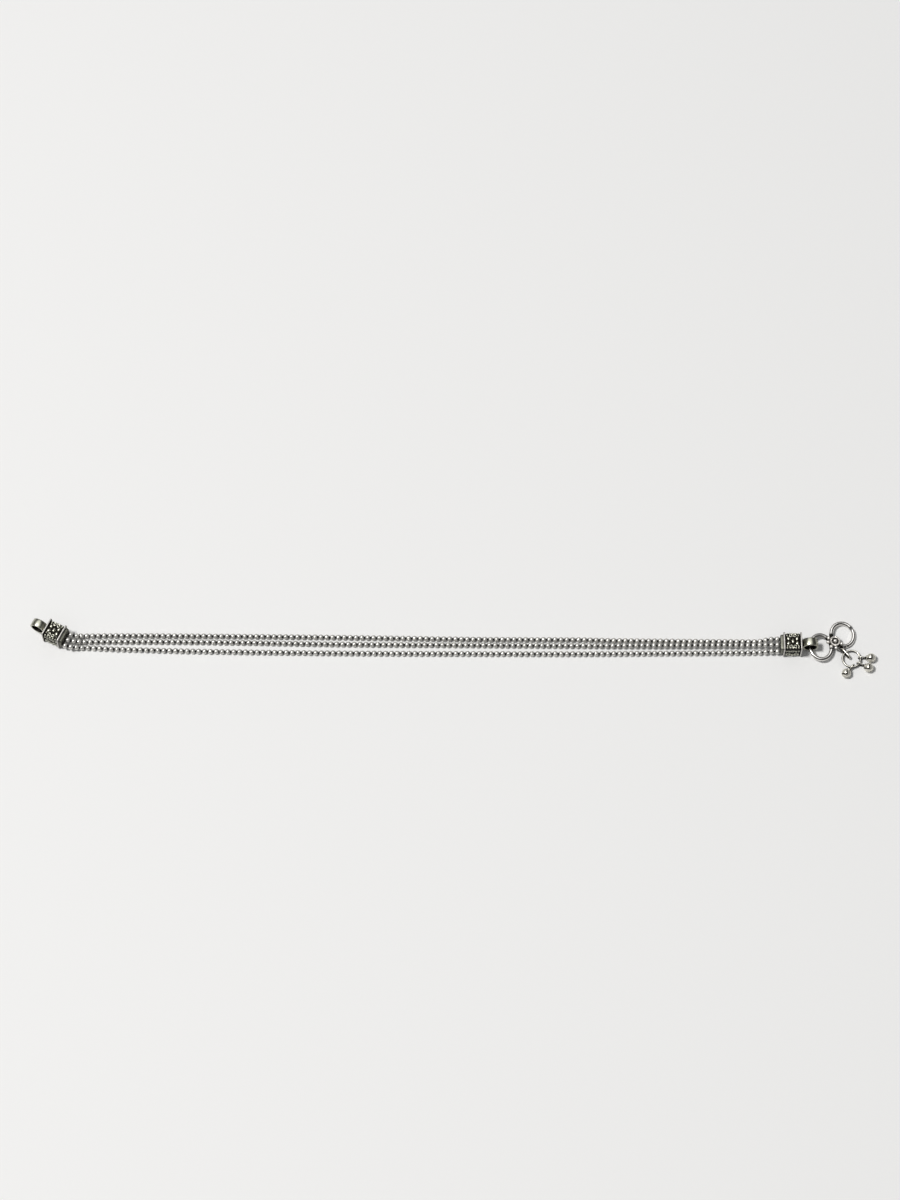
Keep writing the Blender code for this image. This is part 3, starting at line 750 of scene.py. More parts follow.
def relief_points(place):
    """A mesh of points that say where a cap's grains and rings stand, and how big they are."""
    spots = []
    for quarter in (0, 2):
        u, s, *size = FLOWER_GRAIN
        spots.append((quarter, u, s, size, 0.0))
        for side_u, side_s in ((-1, -1), (-1, 1), (1, -1), (1, 1)):
            leaning = -side_u * side_s * PETAL_LEAN
            for (u, s, *size), lean in ((PETAL, leaning), (SIDE_BALL, 0.0), (FACE_RING, 0.0)):
                spots.append((quarter, side_u * u, side_s * s, size, lean))
    for quarter, up in ((1, 1), (3, -1)):
        for u, s, *size in SIDE_FACE_RELIEF:
            for side in (-1, 1) if u else (1,):
                spots.append((quarter, side * u, up * s, size, 0.0))
    for quarter in range(4):
        for i in range(EDGE_BALLS):
            u = (i - (EDGE_BALLS - 1) / 2) * EDGE_BALL_PITCH
            corner = (barrel_half(u * MM) - BARREL_CORNER * (1 - EDGE_TURN)) / MM
            spots.append((quarter, u, corner, [EDGE_BALL] * 3, 0.0))
    stands = [
        place @ on_face(quarter, u * MM, s * MM, RELIEF_SINK, lean)
        for quarter, u, s, size, lean in spots
    ]
    mesh = bpy.data.meshes.new("relief_points")
    mesh.from_pydata([stand.translation for stand in stands], [], [])
    for name, kind in (("turn", "FLOAT_VECTOR"), ("size", "FLOAT_VECTOR"), ("is_ring", "FLOAT")):
        mesh.attributes.new(name, kind, "POINT")
    turns, sizes, rings = (mesh.attributes[name].data for name in ("turn", "size", "is_ring"))
    for i, (stand, spot) in enumerate(zip(stands, spots)):
        size = spot[3]
        is_ring = len(size) == 1
        turns[i].vector = stand.to_euler("XYZ")
        sizes[i].vector = Vector(size * 3) if is_ring else Vector(size) * MM
        rings[i].value = float(is_ring)
    return mesh


def cap_barrel(form, place):
    """The barrel with its dark ground, between two bright square rims."""
    half, rim = CAP_LENGTH / 2, CAP_WIDTH / 2
    groove = half - RIM
    edge = (
        (half, rim - RIM_EDGE), (half - RIM_EDGE / 3, rim - RIM_EDGE / 3), (half - RIM_EDGE, rim),
        (groove + RIM_EDGE, rim), (groove + RIM_EDGE / 3, rim - RIM_EDGE / 3),
        (groove, rim - RIM_EDGE),
    )
    first = [rounded_square(-u, size, size, CAP_CORNER) for u, size in edge]
    last = [rounded_square(u, size, size, CAP_CORNER) for u, size in reversed(edge)]
    barrel = []
    for i in range(-BARREL_STEPS, BARREL_STEPS + 1):
        u = groove * i / BARREL_STEPS
        barrel.append(rounded_square(u, barrel_half(u), barrel_half(u), BARREL_CORNER))
    polish = [*RIM_POLISH, *[0.0] * len(barrel), *reversed(RIM_POLISH)]
    form.skin(first + barrel + last, polish, matrix=place)


def cap_collar(form, place):
    """The smooth block that the strands are soldered to."""
    half_y = CAP_WIDTH / 2 - COLLAR_INSET_Y
    half_z = CAP_WIDTH / 2 - COLLAR_INSET_Z
    outer = -CAP_LENGTH / 2 - COLLAR_LENGTH
    steps = ((0.0, 1.0), (0.3, 0.3), (1.0, 0.0))
    sections = [
        rounded_square(outer + COLLAR_EDGE * along, half_y - COLLAR_EDGE * inset,
                       half_z - COLLAR_EDGE * inset, BARREL_CORNER)
        for along, inset in steps
    ]
    sections.append(rounded_square(-CAP_LENGTH / 2 + SOLDER, half_y, half_z, BARREL_CORNER))
    # Oxide and painted shade darken the collar
    form.skin(sections, COLLAR_OXIDE_AND_SHADE, matrix=place)


def bail_centre():
    """Middle of the bail's hole, from the cap's middle."""
    return Vector((CAP_LENGTH / 2 + STEM_LENGTH + BAIL_R, 0, BAIL_RISE))


def cap_bail(form, place):
    """The wide strip bent to a loop, its edges softened, and its stem."""
    half = BAIL_WIDTH / 2
    inner = BAIL_R - BAIL_WALL
    soft = BAIL_EDGE
    corner = (
        (BAIL_R - soft, -half), (BAIL_R - soft / 3, -half + soft / 3), (BAIL_R, -half + soft),
        (BAIL_R + 0.04 * MM, 0),
        (BAIL_R, half - soft), (BAIL_R - soft / 3, half - soft / 3), (BAIL_R - soft, half),
        (inner + soft, half), (inner + soft / 3, half - soft / 3), (inner, half - soft),
        (inner, -half + soft), (inner + soft / 3, -half + soft / 3), (inner + soft, -half),
    )
    loops = []
    for r, y in corner:
        turn = [2 * math.pi * i / BAIL_STEPS for i in range(BAIL_STEPS)]
        loops.append([Vector((r * math.cos(t), y, r * math.sin(t))) for t in turn])
    # Painted shade darkens the inside of the loop; the strip is brighter at its edges
    polish = [PAINTED_DEEP_SHADE if r < inner + soft / 2 else 1.0 if abs(y) > half - soft / 2 else 0.7
              for r, y in corner]
    form.skin(loops, polish, ring=True, matrix=place @ at(bail_centre()))
    start = CAP_LENGTH / 2 - SOLDER
    end = CAP_LENGTH / 2 + STEM_LENGTH + BAIL_WALL / 2
    stem = [
        rounded_square(u, STEM_WIDTH / 2, STEM_WIDTH / 2, STEM_EDGE, 4) for u in (start, end)
    ]
    # Painted shade on the stem
    form.skin(stem, 0.1, matrix=place @ at(0, 0, BAIL_RISE))


def strand_end(name, left):
    """Where a strand stops in front of a collar, and the way it points there."""
    side, left_height, right_height = STRAND_ENDS[name]
    face = -CAP_LENGTH / 2 - COLLAR_LENGTH - GAP
    across = side * STRAND_SPREAD * (-1 if left else 1)
    place = cap_place(left)
    spot = Vector((face, across, left_height if left else right_height))
    return place @ spot, place.to_3x3() @ Vector((-1, 0, 0))


def strand_line(name):
    """The middle line of a strand, from just inside one collar to just inside the other."""
    start, out_of_left = strand_end(name, True)
    end, out_of_right = strand_end(name, False)
    points = [start, start + ENTRY_RUN * out_of_left]
    for share, y, lift in ROUTES[name]:
        spot = Vector((share * CAP_SPACING / 2, y * BEAD, (0.5 + lift) * BEAD))
        points.append(WORLD @ spot)
    points += [end + ENTRY_RUN * out_of_right, end]
    runs = [(b - a).length for a, b in zip(points, points[1:])]
    slopes = []
    for i in range(len(points)):
        low, high = max(0, i - 1), min(len(points) - 1, i + 1)
        slope = (points[high] - points[low]) / sum(runs[low:high])
        before = (points[i].z - points[low].z) / runs[low]
        after = (points[high].z - points[i].z) / runs[high - 1]
        slope.z = 2 * before * after / (before + after) if before * after > 0 else 0
        slopes.append(slope)
    line = [start - (GAP + SOLDER) * out_of_left]
    for i, run in enumerate(runs):
        for step in range(FINE_STEPS):
            t = step / FINE_STEPS
            line.append(
                (2 * t**3 - 3 * t**2 + 1) * points[i]
                + (t**3 - 2 * t**2 + t) * run * slopes[i]
                + (3 * t**2 - 2 * t**3) * points[i + 1]
                + (t**3 - t**2) * run * slopes[i + 1]
            )
    return line + [points[-1], end - (GAP + SOLDER) * out_of_right]


def free_ring_centre():
    reach = ellipse_reach(*THREADED_RING, CLASP_WAY) + ellipse_reach(*FREE_RING, CLASP_WAY)
    reach += 2 * CLASP_WIRE - SOLDER / 2
    return Vector((THREADED_RING[0], 0, 0)) + reach * plan_way(CLASP_WAY)


def rosette_centre():
    reach = ellipse_reach(*THREADED_RING, CLASP_WAY) + CLASP_WIRE
    joint = Vector((THREADED_RING[0], 0, 0)) + reach * plan_way(CLASP_WAY)
    return joint + Vector((*ROSETTE_SHIFT, 0))


def eye_centre():
    return rosette_centre() + EYE_REACH * plan_way(EYE_WAY)


def clasp_place():
    """The clasp hangs in the right bail at one end and lies on the surface at the other."""
    held = Vector((CAP_SPACING / 2, THREADED_OFFSET, CAP_WIDTH / 2)) + bail_centre()
    held.z += CLASP_WIRE + GAP - (BAIL_R - BAIL_WALL)
    run = free_ring_centre().x + FREE_RING[0]
    return WORLD @ at(held) @ turned(math.asin((held.z - CLASP_WIRE) / run), "Y")


def rosette_shade(point):
    """Painted shade darkens the rings round and under the rosette."""
    away = (point - rosette_centre()).length
    return min(1.0, max(0.0, (away - ROSETTE_SHADE_R) / ROSETTE_SHADE_FADE))


def clasp_rings(form, place):
    """The threaded ring, and the free ring with its narrow mouth and rounded ends."""
    middle = Vector((THREADED_RING[0], 0, 0))
    threaded = [middle + point for point in ellipse(*THREADED_RING, CLASP_STEPS)]
    # Painted shade darkens the threaded ring round the rosette and along its far side
    polish = [rosette_shade(point) * (1 - FAR_SIDE_SHADE * max(0.0, point.y / THREADED_RING[1]))
              for point in threaded]
    form.skin(round_wire(threaded, CLASP_WIRE, CLASP_SIDES), polish, ring=True, matrix=place)
    half_mouth = MOUTH / 2 / ellipse_reach(*FREE_RING, MOUTH_AT)
    start, end = MOUTH_AT + half_mouth, MOUTH_AT + 2 * math.pi - half_mouth
    path = [free_ring_centre() + point for point in arc(*FREE_RING, CLASP_STEPS, start, end)]
    taper = (0.72, 0.93, 1.0)
    shares = [taper[min(i, CLASP_STEPS - i, 2)] for i in range(CLASP_STEPS + 1)]
    radii = [CLASP_WIRE * share for share in shares]
    # Painted shade round the rosette; the tapered ends are darker
    polish = [0.35 if share < 1 else rosette_shade(point) for point, share in zip(path, shares)]
    form.skin(round_wire(path, CLASP_WIRE, CLASP_SIDES, False, radii), polish, matrix=place)


def rosette(form, place):
    """The round plate and its granules; the twisted ring comes from its own tree."""
    centre = place @ at(rosette_centre())
    profile = ((ROSETTE_R - 0.12 * MM, -CLASP_WIRE / 2, 0.1), (ROSETTE_R, 0.0, 0.1),
               (ROSETTE_R, ROSETTE_HEIGHT - 0.15 * MM, 0.1),
               (ROSETTE_R - 0.15 * MM, ROSETTE_HEIGHT, 0.2),
               (ROPE_R + 0.05 * MM, ROSETTE_HEIGHT - 0.08 * MM, 0.0),
               (0.1 * MM, ROSETTE_HEIGHT - 0.12 * MM, 0.0))
    loops = [[r * plan_way(2 * math.pi * i / 48) + Vector((0, 0, z)) for i in range(48)]
             for r, z, share in profile]
    form.skin(loops, [share for r, z, share in profile], matrix=centre)
    # The centre ball and the granules carry painted shade on their lower halves
    form.ball(CENTRE_BALL_R, centre @ at(0, 0, ROSETTE_HEIGHT + 0.05 * MM), 24, 14, -0.15)
    for angle in map(math.radians, GRANULE_ANGLES):
        spot = GRANULE_CIRCLE * plan_way(angle) + Vector((0, 0, GRANULE_R))
        form.ball(GRANULE_R, centre @ at(spot), 20, 12, 0.0)


def clasp_eye(form, place):
    """The eye for the drop and its post."""
    path = [eye_centre() + point for point in ellipse(EYE_R, EYE_R, 32)]
    form.skin(round_wire(path, EYE_WIRE, 12), 0.3, ring=True, matrix=place)
    way = plan_way(EYE_WAY)
    post = [rosette_centre() + way * ROSETTE_R / 2, eye_centre() - way * EYE_R]
    form.skin(round_wire(post, 1.2 * EYE_WIRE, 16, False), 0.15, matrix=place)


def eye_wire_spot():
    return clasp_place() @ (eye_centre() + EYE_R * plan_way(LINK_WAY))


def link_path():
    """The long link's middle line, flat in its own plane."""
    half_height = LINK_HEIGHT / 2 - LINK_WIRE
    half_run = LINK_LENGTH / 2 - LINK_WIRE - half_height
    path = []
    for side, facing in ((1, 0), (-1, math.pi)):
        end = arc(half_height, half_height, 14, facing - math.pi / 2, facing + math.pi / 2)
        path += [spot + Vector((side * half_run, 0, 0)) for spot in end]
    return path


def link_painted_shade():
    """Painted shade darkens the two wires of the standing link where they face each other."""
    upper = [PAINTED_DEEP_SHADE if 2 <= j <= 8 else 1.0 for j in range(LINK_SIDES)]
    lower = [PAINTED_DEEP_SHADE if 4 <= j <= 8 else 1.0 for j in range(LINK_SIDES)]
    return [upper if point.y > 0 else lower for point in link_path()]


def painted_light_and_shade(sides, facing):
    """Painted light round a wire: a painted highlight on the side that faces this way and painted
    shade beside it.
    """
    turns = [2 * math.pi * j / sides - facing for j in range(sides)]
    return [1.0 if math.cos(turn) > PAINTED_LIGHT_FACING else PAINTED_SHADE for turn in turns]


def link_place():
    start = EYE_WIRE + LINK_SLACK + 2 * LINK_WIRE
    middle = eye_wire_spot() + (LINK_LENGTH / 2 - start) * plan_way(LINK_WAY)
    return at(middle) @ turned(LINK_WAY, "Z") @ turned(math.pi / 2, "X")


def jump_ring_centre():
    between = EYE_WIRE + JUMP_RING_WIRE + LINK_SLACK
    crossing = eye_wire_spot() + between * plan_way(LINK_WAY)
    return crossing + JUMP_RING_R * plan_way(JUMP_RING_WAY)


def bell_loop_at():
    return BELL_R + BELL_NECK + BELL_LOOP_R + BELL_LOOP_WIRE - SOLDER / 2


def bell_place(ring_angle, lean, slack):
    """Where a bell lies: its ball on the surface, its loop round the jump ring's wire."""
    crossing = jump_ring_centre() + JUMP_RING_R * plan_way(ring_angle)
    wire_in_loop = JUMP_RING_WIRE / abs(math.cos(ring_angle - lean))
    reach = bell_loop_at() - (BELL_LOOP_R - BELL_LOOP_WIRE) + wire_in_loop + GAP / 2 + slack
    floor = WORLD.translation.z
    rise = crossing.z - floor - BELL_R
    middle = crossing + math.sqrt(reach**2 - rise**2) * plan_way(lean)
    middle.z = floor + BELL_R
    tip = math.asin(rise / reach)
    return at(middle) @ turned(lean + math.pi, "Z") @ turned(-tip, "Y")


def bell_painted_reflection(spot, centre):
    """A bell is bright but for a painted reflection: a soft dark line that bends round its highlight.
    """
    x, y, z = (spot - centre) / BELL_R
    up = y * math.sin(CAMERA_ELEVATION) + z * math.cos(CAMERA_ELEVATION)
    beside = math.hypot(x - REFLECTED_LINE_AT[0], max(0.0, REFLECTED_LINE_AT[1] - up, up - REFLECTED_LINE_TOP))
    below = math.hypot(max(0.0, x - REFLECTED_LINE_AT[0]), up - REFLECTED_LINE_AT[1])
    away = min(beside, below)
    return min(1.0, max(0.0, (away - REFLECTED_LINE_HALF) / REFLECTED_LINE_FADE)) if z > 0 else 1.0


def bell_shell(form, place):
    """The hollow ball, open along a slot that runs round its front."""
    slot_half = math.asin(BELL_SLOT / 2 / BELL_R)
    upper = [slot_half + (math.pi / 2 - slot_half) * (i / BELL_ROWS) for i in range(BELL_ROWS)]
    latitudes = [-t for t in reversed(upper)] + upper
    ways = [plan_way(2 * math.pi * j / BELL_COLUMNS) for j in range(BELL_COLUMNS)]
    made = []

    def point(spot, polish):
        vertex = form.bm.verts.new(place @ spot)
        if polish is None:
            polish = bell_painted_reflection(vertex.co, place.translation)
        vertex[form.polish] = polish
        return vertex

    def face(*corners):
        made.append(form.bm.faces.new(corners))

    shells = []
    for radius, bright in ((BELL_R, True), (BELL_R - BELL_WALL * 0.7, False)):
        grid = []
        for latitude in latitudes:
            rise = Vector((0, 0, math.sin(latitude)))
            spots = [radius * (way * math.cos(latitude) + rise) for way in ways]
            grid.append([point(spot, None if bright else 0.0) for spot in spots])
        poles = [point(Vector((0, 0, z)), 1.0 if bright else 0.0) for z in (-radius, radius)]
        shells.append((grid, poles))
    low = len(latitudes) // 2 - 1
    high = low + 1
    start, end = (BELL_COLUMNS * share for share in SLOT_SPAN)
    slot = [j for j in range(BELL_COLUMNS) if start <= j + 0.5 <= end]

    for inside, (grid, poles) in enumerate(shells):
        for i in range(len(grid) - 1):
            for j in range(BELL_COLUMNS):
                k = (j + 1) % BELL_COLUMNS
                if i == low and j in slot:
                    continue
                corners = [grid[i][j], grid[i][k], grid[i + 1][k], grid[i + 1][j]]
                face(*(reversed(corners) if inside else corners))
        for pole, ring, flip in ((poles[0], grid[0], True), (poles[1], grid[-1], False)):
            for j in range(BELL_COLUMNS):
                corners = [ring[j], ring[(j + 1) % BELL_COLUMNS], pole]
                face(*(reversed(corners) if flip != bool(inside) else corners))
    outer, inner = shells[0][0], shells[1][0]
    for j in slot:
        k = (j + 1) % BELL_COLUMNS
        face(outer[low][j], outer[low][k], inner[low][k], inner[low][j])
        face(outer[high][k], outer[high][j], inner[high][j], inner[high][k])
    first, last = slot[0], (slot[-1] + 1) % BELL_COLUMNS
    face(outer[high][first], outer[low][first], inner[low][first], inner[high][first])
    face(outer[low][last], outer[high][last], inner[high][last], inner[low][last])
    bmesh.ops.recalc_face_normals(form.bm, faces=made)


def lathe(form, profile, place, sides=32):
    """A closed form turned about the X axis: distance along it, radius and polish."""
    loops = [[Vector((x, r * math.cos(t), r * math.sin(t)))
              for t in (2 * math.pi * i / sides for i in range(sides))]
             for x, r, share in profile]
    form.skin(loops, [share for x, r, share in profile], matrix=place)


def bell_neck(form, place):
    """The dark neck, the bright band beside it and the loop."""
    end = BELL_R + BELL_NECK
    lathe(form, (
        (BELL_R - 0.25 * MM, 0.86 * MM, 0.2), (BELL_R - 0.12 * MM, 0.92 * MM, 0.9),
        (BELL_R + 0.02 * MM, 0.8 * MM, 1.0), (BELL_R + 0.06 * MM, 0.5 * MM, 0.1),
    ), place)
    lathe(form, (
        (BELL_R - BELL_WALL / 2, BELL_NECK_R, 0.0), (BELL_R + 0.25 * MM, 0.42 * MM, 0.0),
        (end - 0.15 * MM, 0.45 * MM, 0.2), (end, 0.36 * MM, 0.4),
    ), place, 24)
    path = ellipse(BELL_LOOP_R, BELL_LOOP_R, BELL_LOOP_STEPS)
    loops = round_wire(path, BELL_LOOP_WIRE, BELL_LOOP_SIDES)
    upright = place @ at(bell_loop_at(), 0, 0) @ turned(math.pi / 2, "X")
    # Painted highlight on the loop's outer side and painted shade on its sides
    form.skin(loops, [painted_light_and_shade(BELL_LOOP_SIDES, 0.0)] * BELL_LOOP_STEPS, ring=True, matrix=upright)


class StrandSettings(bpy.types.PropertyGroup):
    """Sizes and colours of the bead strands."""

    bead_diameter: bpy.props.FloatProperty(
        name="Bead Diameter", description="Diameter of one bead", default=BEAD_ACROSS,
        min=0.5 * MM, max=4 * MM, unit="LENGTH", precision=5,
    )
    bead_pitch: bpy.props.FloatProperty(
        name="Bead Pitch", description="Distance between the middles of two beads",
        default=BEAD_PITCH, min=0.6 * MM, max=6 * MM, unit="LENGTH", precision=5,
    )
    wire_radius: bpy.props.FloatProperty(
        name="Wire Radius", description="Radius of the links between the beads",
        default=CHAIN_WIRE, min=0.05 * MM, max=1 * MM, unit="LENGTH", precision=5,
    )
    bright: bpy.props.FloatVectorProperty(
        name="Silver", description="Colour of the polished beads", subtype="COLOR",
        default=(0.68, 0.67, 0.635), min=0, max=1,
    )
    # The dark colour is the tarnish and also the painted shade on the links and the beads' ends
    dark: bpy.props.FloatVectorProperty(
        name="Tarnish", description="Colour of the links and the beads' ends", subtype="COLOR",
        default=(0.014, 0.013, 0.011), min=0, max=1,
    )


class CapSettings(bpy.types.PropertyGroup):
    """Sizes and colours of the end caps."""

    ring_radius: bpy.props.FloatProperty(
        name="Ring Radius", description="Radius of the small rings on each face",
        default=FACE_RING_R, min=0.2 * MM, max=0.8 * MM, unit="LENGTH", precision=5,
    )
    ring_wire: bpy.props.FloatProperty(
        name="Ring Wire", description="Wire radius of the small rings",
        default=FACE_RING_WIRE, min=0.05 * MM, max=0.4 * MM, unit="LENGTH", precision=5,
    )
    bright: bpy.props.FloatVectorProperty(
        name="Silver", description="Colour of the rims and the raised work", subtype="COLOR",
        default=(0.92, 0.89, 0.84), min=0, max=1,
    )
    # The dark colour is the blackened ground and also the painted shade in the bail's loop, its stem
    # and the collar
    dark: bpy.props.FloatVectorProperty(
        name="Blackening", description="Colour of the ground between the grains",
        subtype="COLOR", default=(0.012, 0.011, 0.009), min=0, max=1,
    )
    bail: bpy.props.FloatVectorProperty(
        name="Bail Silver", description="Colour of the satin bail and collar", subtype="COLOR",
        default=(0.48, 0.48, 0.4), min=0, max=1,
    )


class ClaspSettings(bpy.types.PropertyGroup):
    """Sizes and colours of the clasp."""

    rope_turns: bpy.props.IntProperty(
        name="Rope Turns", description="Turns of the twisted ring's wires", default=ROPE_TURNS,
        min=3, max=24,
    )
    bright: bpy.props.FloatVectorProperty(
        name="Silver", description="Colour of the rings", subtype="COLOR",
        default=(0.78, 0.76, 0.73), min=0, max=1,
    )
    worked: bpy.props.FloatVectorProperty(
        name="Rosette Silver", description="Colour of the rosette's raised work",
        subtype="COLOR", default=(0.74, 0.71, 0.67), min=0, max=1,
    )
    # The dark colour is the blackened hollows and also the painted shade round the rosette, along the
    # ring's far side and under the balls
    dark: bpy.props.FloatVectorProperty(
        name="Blackening", description="Colour of the hollows of the rosette", subtype="COLOR",
        default=(0.012, 0.011, 0.009), min=0, max=1,
    )


class DropSettings(bpy.types.PropertyGroup):
    """Colours of the link, the jump ring and the bells."""

    bright: bpy.props.FloatVectorProperty(
        name="Silver", description="Colour of the drop", subtype="COLOR",
        default=(0.72, 0.7, 0.625), min=0, max=1,
    )
    # The dark colour is also the painted reflection on the bells and the painted shade on the link,
    # the jump ring and the loops
    dark: bpy.props.FloatVectorProperty(
        name="Blackening", description="Colour of the necks and the bells' insides",
        subtype="COLOR", default=(0.014, 0.013, 0.01), min=0, max=1,
    )


class StageSettings(bpy.types.PropertyGroup):
    """The floor, the light and the surroundings that the silver mirrors."""

    floor: bpy.props.FloatVectorProperty(
        name="Floor", description="Colour of the floor", subtype="COLOR",
        default=(0.86, 0.86, 0.855), min=0, max=1,
    )
    fill: bpy.props.FloatProperty(
        name="Fill", description="Strength of the even light from all round", default=0.25,
        min=0, max=5,
    )
    key: bpy.props.FloatProperty(
        name="Key", description="Power of the lamp that casts the shadows", default=73.0,
        min=0, max=1000, unit="POWER",
    )
    key_size: bpy.props.FloatProperty(
        name="Key Size", description="Diameter of that lamp, which softens the shadows",
        default=0.6, min=0.01, max=3, unit="LENGTH",
    )
    room: bpy.props.FloatProperty(
        name="Room", description="Brightness of the dark room that the silver mirrors",
        default=0.05, min=0, max=1,
    )
    panel: bpy.props.FloatProperty(
        name="Panel", description="Brightness of the pale panel overhead that it mirrors",
        default=1.7, min=0, max=10,
    )


class ANKLET_OT_strands(bpy.types.Operator):
    """Builds the three bead strands in place of their tubes"""

    bl_idname = "anklet.strands"
    bl_label = "Bead Strands"

    def execute(self, context):
        chosen = context.scene.anklet_strands
        material = silver("chain_silver", chosen.bright, chosen.dark, gloss=0.24, dull=0.5,
                          grain=0.25, metal=0.5)
        tree = strand_tree()
        for seed, name in enumerate(ROUTES):
            rise = Vector((0, 0, (chosen.bead_diameter - BEAD) / 2))
            line = [point + rise for point in strand_line(name)]
            mesh = bpy.data.meshes.new(name)
            mesh.from_pydata(line, [(i, i + 1) for i in range(len(line) - 1)], [])
            form = Form()
            form.add(grown(name, mesh, tree, {
                "Bead Radius": chosen.bead_diameter / 2,
                "Bead Pitch": chosen.bead_pitch,
                "Wire Radius": chosen.wire_radius,
                "End Margin": SOLDER + chosen.bead_diameter / 2,
                "Seed": 11 + 7 * seed,
                "Material": material,
            }))
            stand_for(form.piece("bead_" + name, [material]), name)
        return {"FINISHED"}


class ANKLET_OT_caps(bpy.types.Operator):
    """Builds the two end caps with their granulation, collars and bails"""

    bl_idname = "anklet.caps"
    bl_label = "End Caps"

    def execute(self, context):
        chosen = context.scene.anklet_caps
        material = silver("cap_silver", chosen.bright, chosen.dark, gloss=0.24, dull=0.6, metal=0.3)
        satin = silver("satin_silver", chosen.bail, chosen.dark, gloss=0.3, dull=0.55)
        tree = granule_tree()
        for left, node in ((True, "end_cap_left"), (False, "end_cap_right")):
            place = cap_place(left)
            form = Form()
            cap_barrel(form, place)
            form.add(grown(node, relief_points(place), tree, {
                "Ring Radius": chosen.ring_radius,
                "Ring Wire": chosen.ring_wire,
                "Material": material,
            }))
            worked = len(form.bm.faces)
            cap_collar(form, place)
            cap_bail(form, place)
            form.paint(worked, 1)
            name = "granulated_" + node.replace("end_", "")
            stand_for(form.piece(name, [material, satin]), node)
        return {"FINISHED"}


class ANKLET_OT_clasp(bpy.types.Operator):
    """Builds the two soldered rings with their rosette and eye"""

    bl_idname = "anklet.clasp"
    bl_label = "Ring Clasp"

    def execute(self, context):
        chosen = context.scene.anklet_clasp
        material = silver("clasp_silver", chosen.bright, chosen.dark, gloss=0.14, dull=0.55)
        worked = silver("rosette_silver", chosen.worked, chosen.dark, gloss=0.32, dull=0.55,
                        metal=0.6)
        place = clasp_place()
        form = Form()
        clasp_rings(form, place)
        clasp_eye(form, place)
        plain = len(form.bm.faces)
        rosette(form, place)
        seed = bpy.data.meshes.new("rope")
        rope = grown("rope", seed, rope_tree(), {
            "Turns": float(chosen.rope_turns), "Material": material,
        })
        rope.transform(place @ at(rosette_centre() + Vector((0, 0, ROSETTE_HEIGHT))))
        form.add(rope)
        form.paint(plain, 1)
        stand_for(form.piece("ring_clasp", [material, worked]), "clasp_hook")
        return {"FINISHED"}


class ANKLET_OT_drop(bpy.types.Operator):
    """Builds the long link, the jump ring and the three bells"""

    bl_idname = "anklet.drop"
    bl_label = "Drop of Bells"

    def execute(self, context):
        chosen = context.scene.anklet_drop
        material = silver("drop_silver", chosen.bright, chosen.dark, gloss=0.24, dull=0.55, metal=0.5)
        form = Form()
        loops = round_wire(link_path(), LINK_WIRE, LINK_SIDES)
        form.skin(loops, link_painted_shade(), ring=True, matrix=link_place())
        stand_for(form.piece("long_link", [material]), "drop_link")
        form = Form()
        circle = ellipse(JUMP_RING_R, JUMP_RING_R, JUMP_RING_STEPS)
        loops = round_wire(circle, JUMP_RING_WIRE, JUMP_RING_SIDES)
        # Painted highlight along the jump ring's top and painted shade on its sides
        polish = [painted_light_and_shade(JUMP_RING_SIDES, math.pi / 2)] * JUMP_RING_STEPS
        form.skin(loops, polish, ring=True, matrix=at(jump_ring_centre()))
        stand_for(form.piece("jump_ring", [material]), "drop_ring")
        for name, ring_angle, lean, slack in BELLS:
            place = bell_place(ring_angle, lean, slack)
            form = Form()
            bell_shell(form, place)
            bell_neck(form, place)
            stand_for(form.piece("slotted_" + name, [material]), name)
        return {"FINISHED"}


class ANKLET_OT_stage(bpy.types.Operator):
    """Builds the floor, the light and the camera"""

    bl_idname = "anklet.stage"
    bl_label = "Stage"

    def execute(self, context):
        chosen = context.scene.anklet_stage
        scene = context.scene
        scene.view_settings.view_transform = "Standard"
        stage_floor(chosen)
        stage_world(chosen)
        stage_lights(chosen)
        stage_camera(scene)
        return {"FINISHED"}


def stage_floor(chosen):
    mesh = bpy.data.meshes.new("floor")
    sides = ((-1, -1), (1, -1), (1, 1), (-1, 1))
    corners = [(FLOOR_REACH * x, FLOOR_REACH * y, 0) for x, y in sides]
    mesh.from_pydata(corners, [], [(0, 1, 2, 3)])
    floor = linked("floor", mesh)
    material, tree = blank(bpy.data.materials.new("floor_paper"))
    shader = tree.add("ShaderNodeBsdfPrincipled", None, {
        "Base Color": colour4(chosen.floor), "Roughness": 0.9, "Specular IOR Level": 0.1,
    })
    tree.add("ShaderNodeOutputMaterial", None, {"Surface": shader})
    mesh.materials.append(material)


def stage_world(chosen):
    """Even pale light, and a dark room with a pale panel overhead that the silver mirrors."""
    world, tree = blank(bpy.data.worlds.new("studio"))
    bpy.context.scene.world = world
    way = tree.add("ShaderNodeTexCoord", None, None, "Generated")
    x, y, z = (tree.add("ShaderNodeSeparateXYZ", None, [way], axis) for axis in "XYZ")
    above = z.between(*HORIZON)
    across, along = (
        1.0 - abs(way / z - middle).between(half, half + PANEL_FADE)
        for way, middle, half in zip((x, y), PANEL_AT, PANEL_HALF)
    )
    level = across * along * above * (chosen.panel - chosen.room) + chosen.room
    mirrored = tree.add("ShaderNodeBackground", None, {"Color": level})
    pale = {"Color": FILL_COLOUR, "Strength": chosen.fill}
    pale = tree.add("ShaderNodeBackground", None, pale)
    seen = tree.add("ShaderNodeBackground", None, {"Color": BACKDROP})
    glossy = tree.add("ShaderNodeLightPath", None, None, "Is Glossy Ray")
    camera = tree.add("ShaderNodeLightPath", None, None, "Is Camera Ray")
    lit = tree.add("ShaderNodeMixShader", None, [glossy, pale, mirrored])
    both = tree.add("ShaderNodeMixShader", None, [camera, lit, seen])
    tree.add("ShaderNodeOutputWorld", None, {"Surface": both})


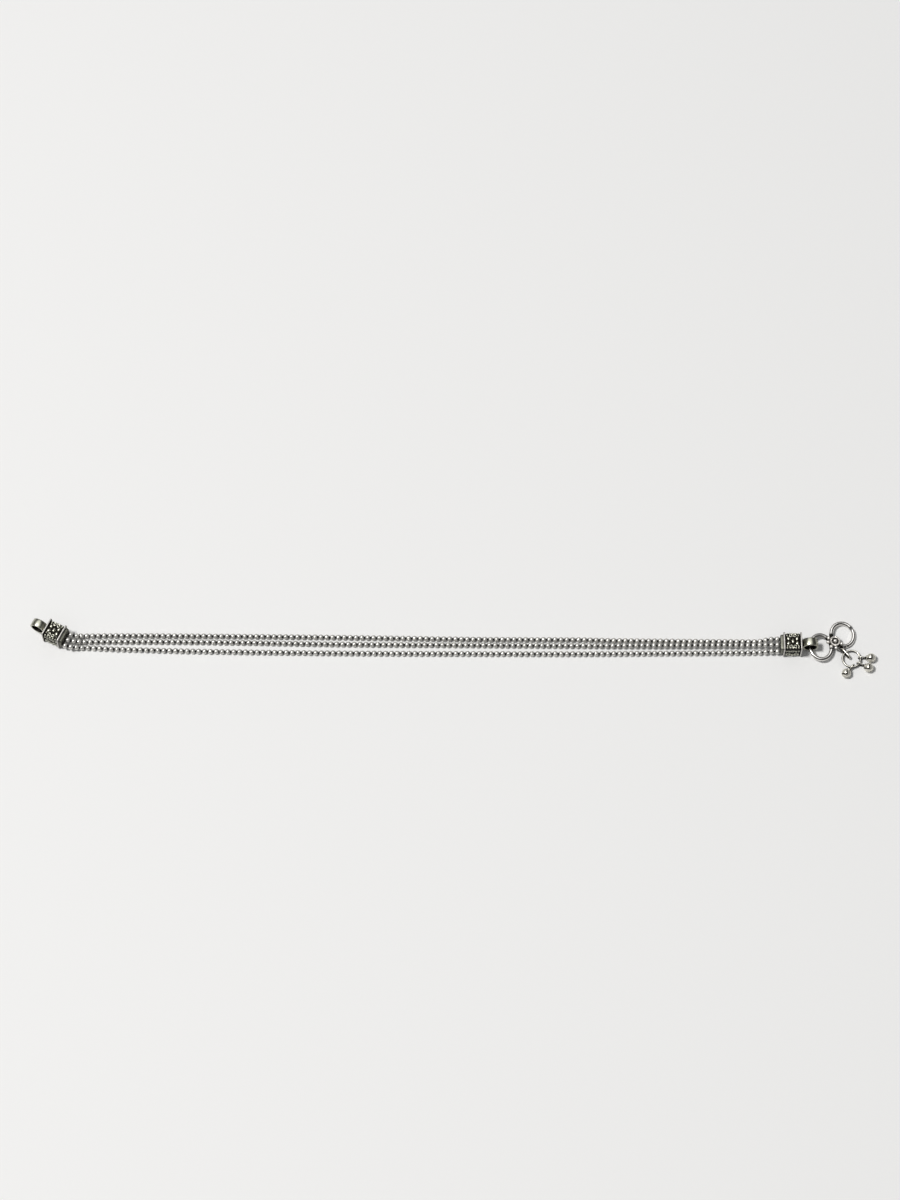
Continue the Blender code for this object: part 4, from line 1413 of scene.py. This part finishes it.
def stage_lights(chosen):
    data = bpy.data.lights.new("key", "AREA")
    data.shape = "DISK"
    data.size = chosen.key_size
    data.energy = chosen.key
    data.color = KEY_COLOUR
    key = linked("key", data)
    key.location = KEY_DISTANCE * KEY_WAY.normalized()
    key.rotation_euler = KEY_WAY.to_track_quat("Z", "Y").to_euler()


def stage_camera(scene):
    data = bpy.data.cameras.new("camera")
    data.sensor_fit = "VERTICAL"
    data.sensor_height = CAMERA_SENSOR
    data.lens = CAMERA_SENSOR * CAMERA_DISTANCE / VIEW_HEIGHT
    data.clip_start = 0.01
    camera = linked("camera", data)
    away = Vector((0, -math.cos(CAMERA_ELEVATION), math.sin(CAMERA_ELEVATION)))
    camera.location = CAMERA_AIM + CAMERA_DISTANCE * away
    camera.rotation_euler = Euler((math.pi / 2 - CAMERA_ELEVATION, 0, 0))
    scene.camera = camera


class ANKLET_PT_sidebar(bpy.types.Panel):
    """Lists the pieces of the anklet and their settings"""

    bl_label = "Layered Anklet"
    bl_idname = "ANKLET_PT_sidebar"
    bl_space_type = "VIEW_3D"
    bl_region_type = "UI"
    bl_category = "Anklet"

    def draw(self, context):
        for name, operator, settings in STEPS:
            box = self.layout.box()
            box.operator(operator.bl_idname)
            chosen = getattr(context.scene, name)
            for key in settings.__annotations__:
                box.prop(chosen, key)


STEPS = (
    ("anklet_strands", ANKLET_OT_strands, StrandSettings),
    ("anklet_caps", ANKLET_OT_caps, CapSettings),
    ("anklet_clasp", ANKLET_OT_clasp, ClaspSettings),
    ("anklet_drop", ANKLET_OT_drop, DropSettings),
    ("anklet_stage", ANKLET_OT_stage, StageSettings),
)


def register():
    for name, operator, settings in STEPS:
        bpy.utils.register_class(settings)
        bpy.utils.register_class(operator)
        setattr(bpy.types.Scene, name, bpy.props.PointerProperty(type=settings))
    bpy.utils.register_class(ANKLET_PT_sidebar)


def unregister():
    bpy.utils.unregister_class(ANKLET_PT_sidebar)
    for name, operator, settings in reversed(STEPS):
        delattr(bpy.types.Scene, name)
        bpy.utils.unregister_class(operator)
        bpy.utils.unregister_class(settings)


def main():
    register()
    bpy.ops.anklet.strands()
    bpy.ops.anklet.caps()
    bpy.ops.anklet.clasp()
    bpy.ops.anklet.drop()
    bpy.ops.anklet.stage()


if __name__ == "__main__":
    main()
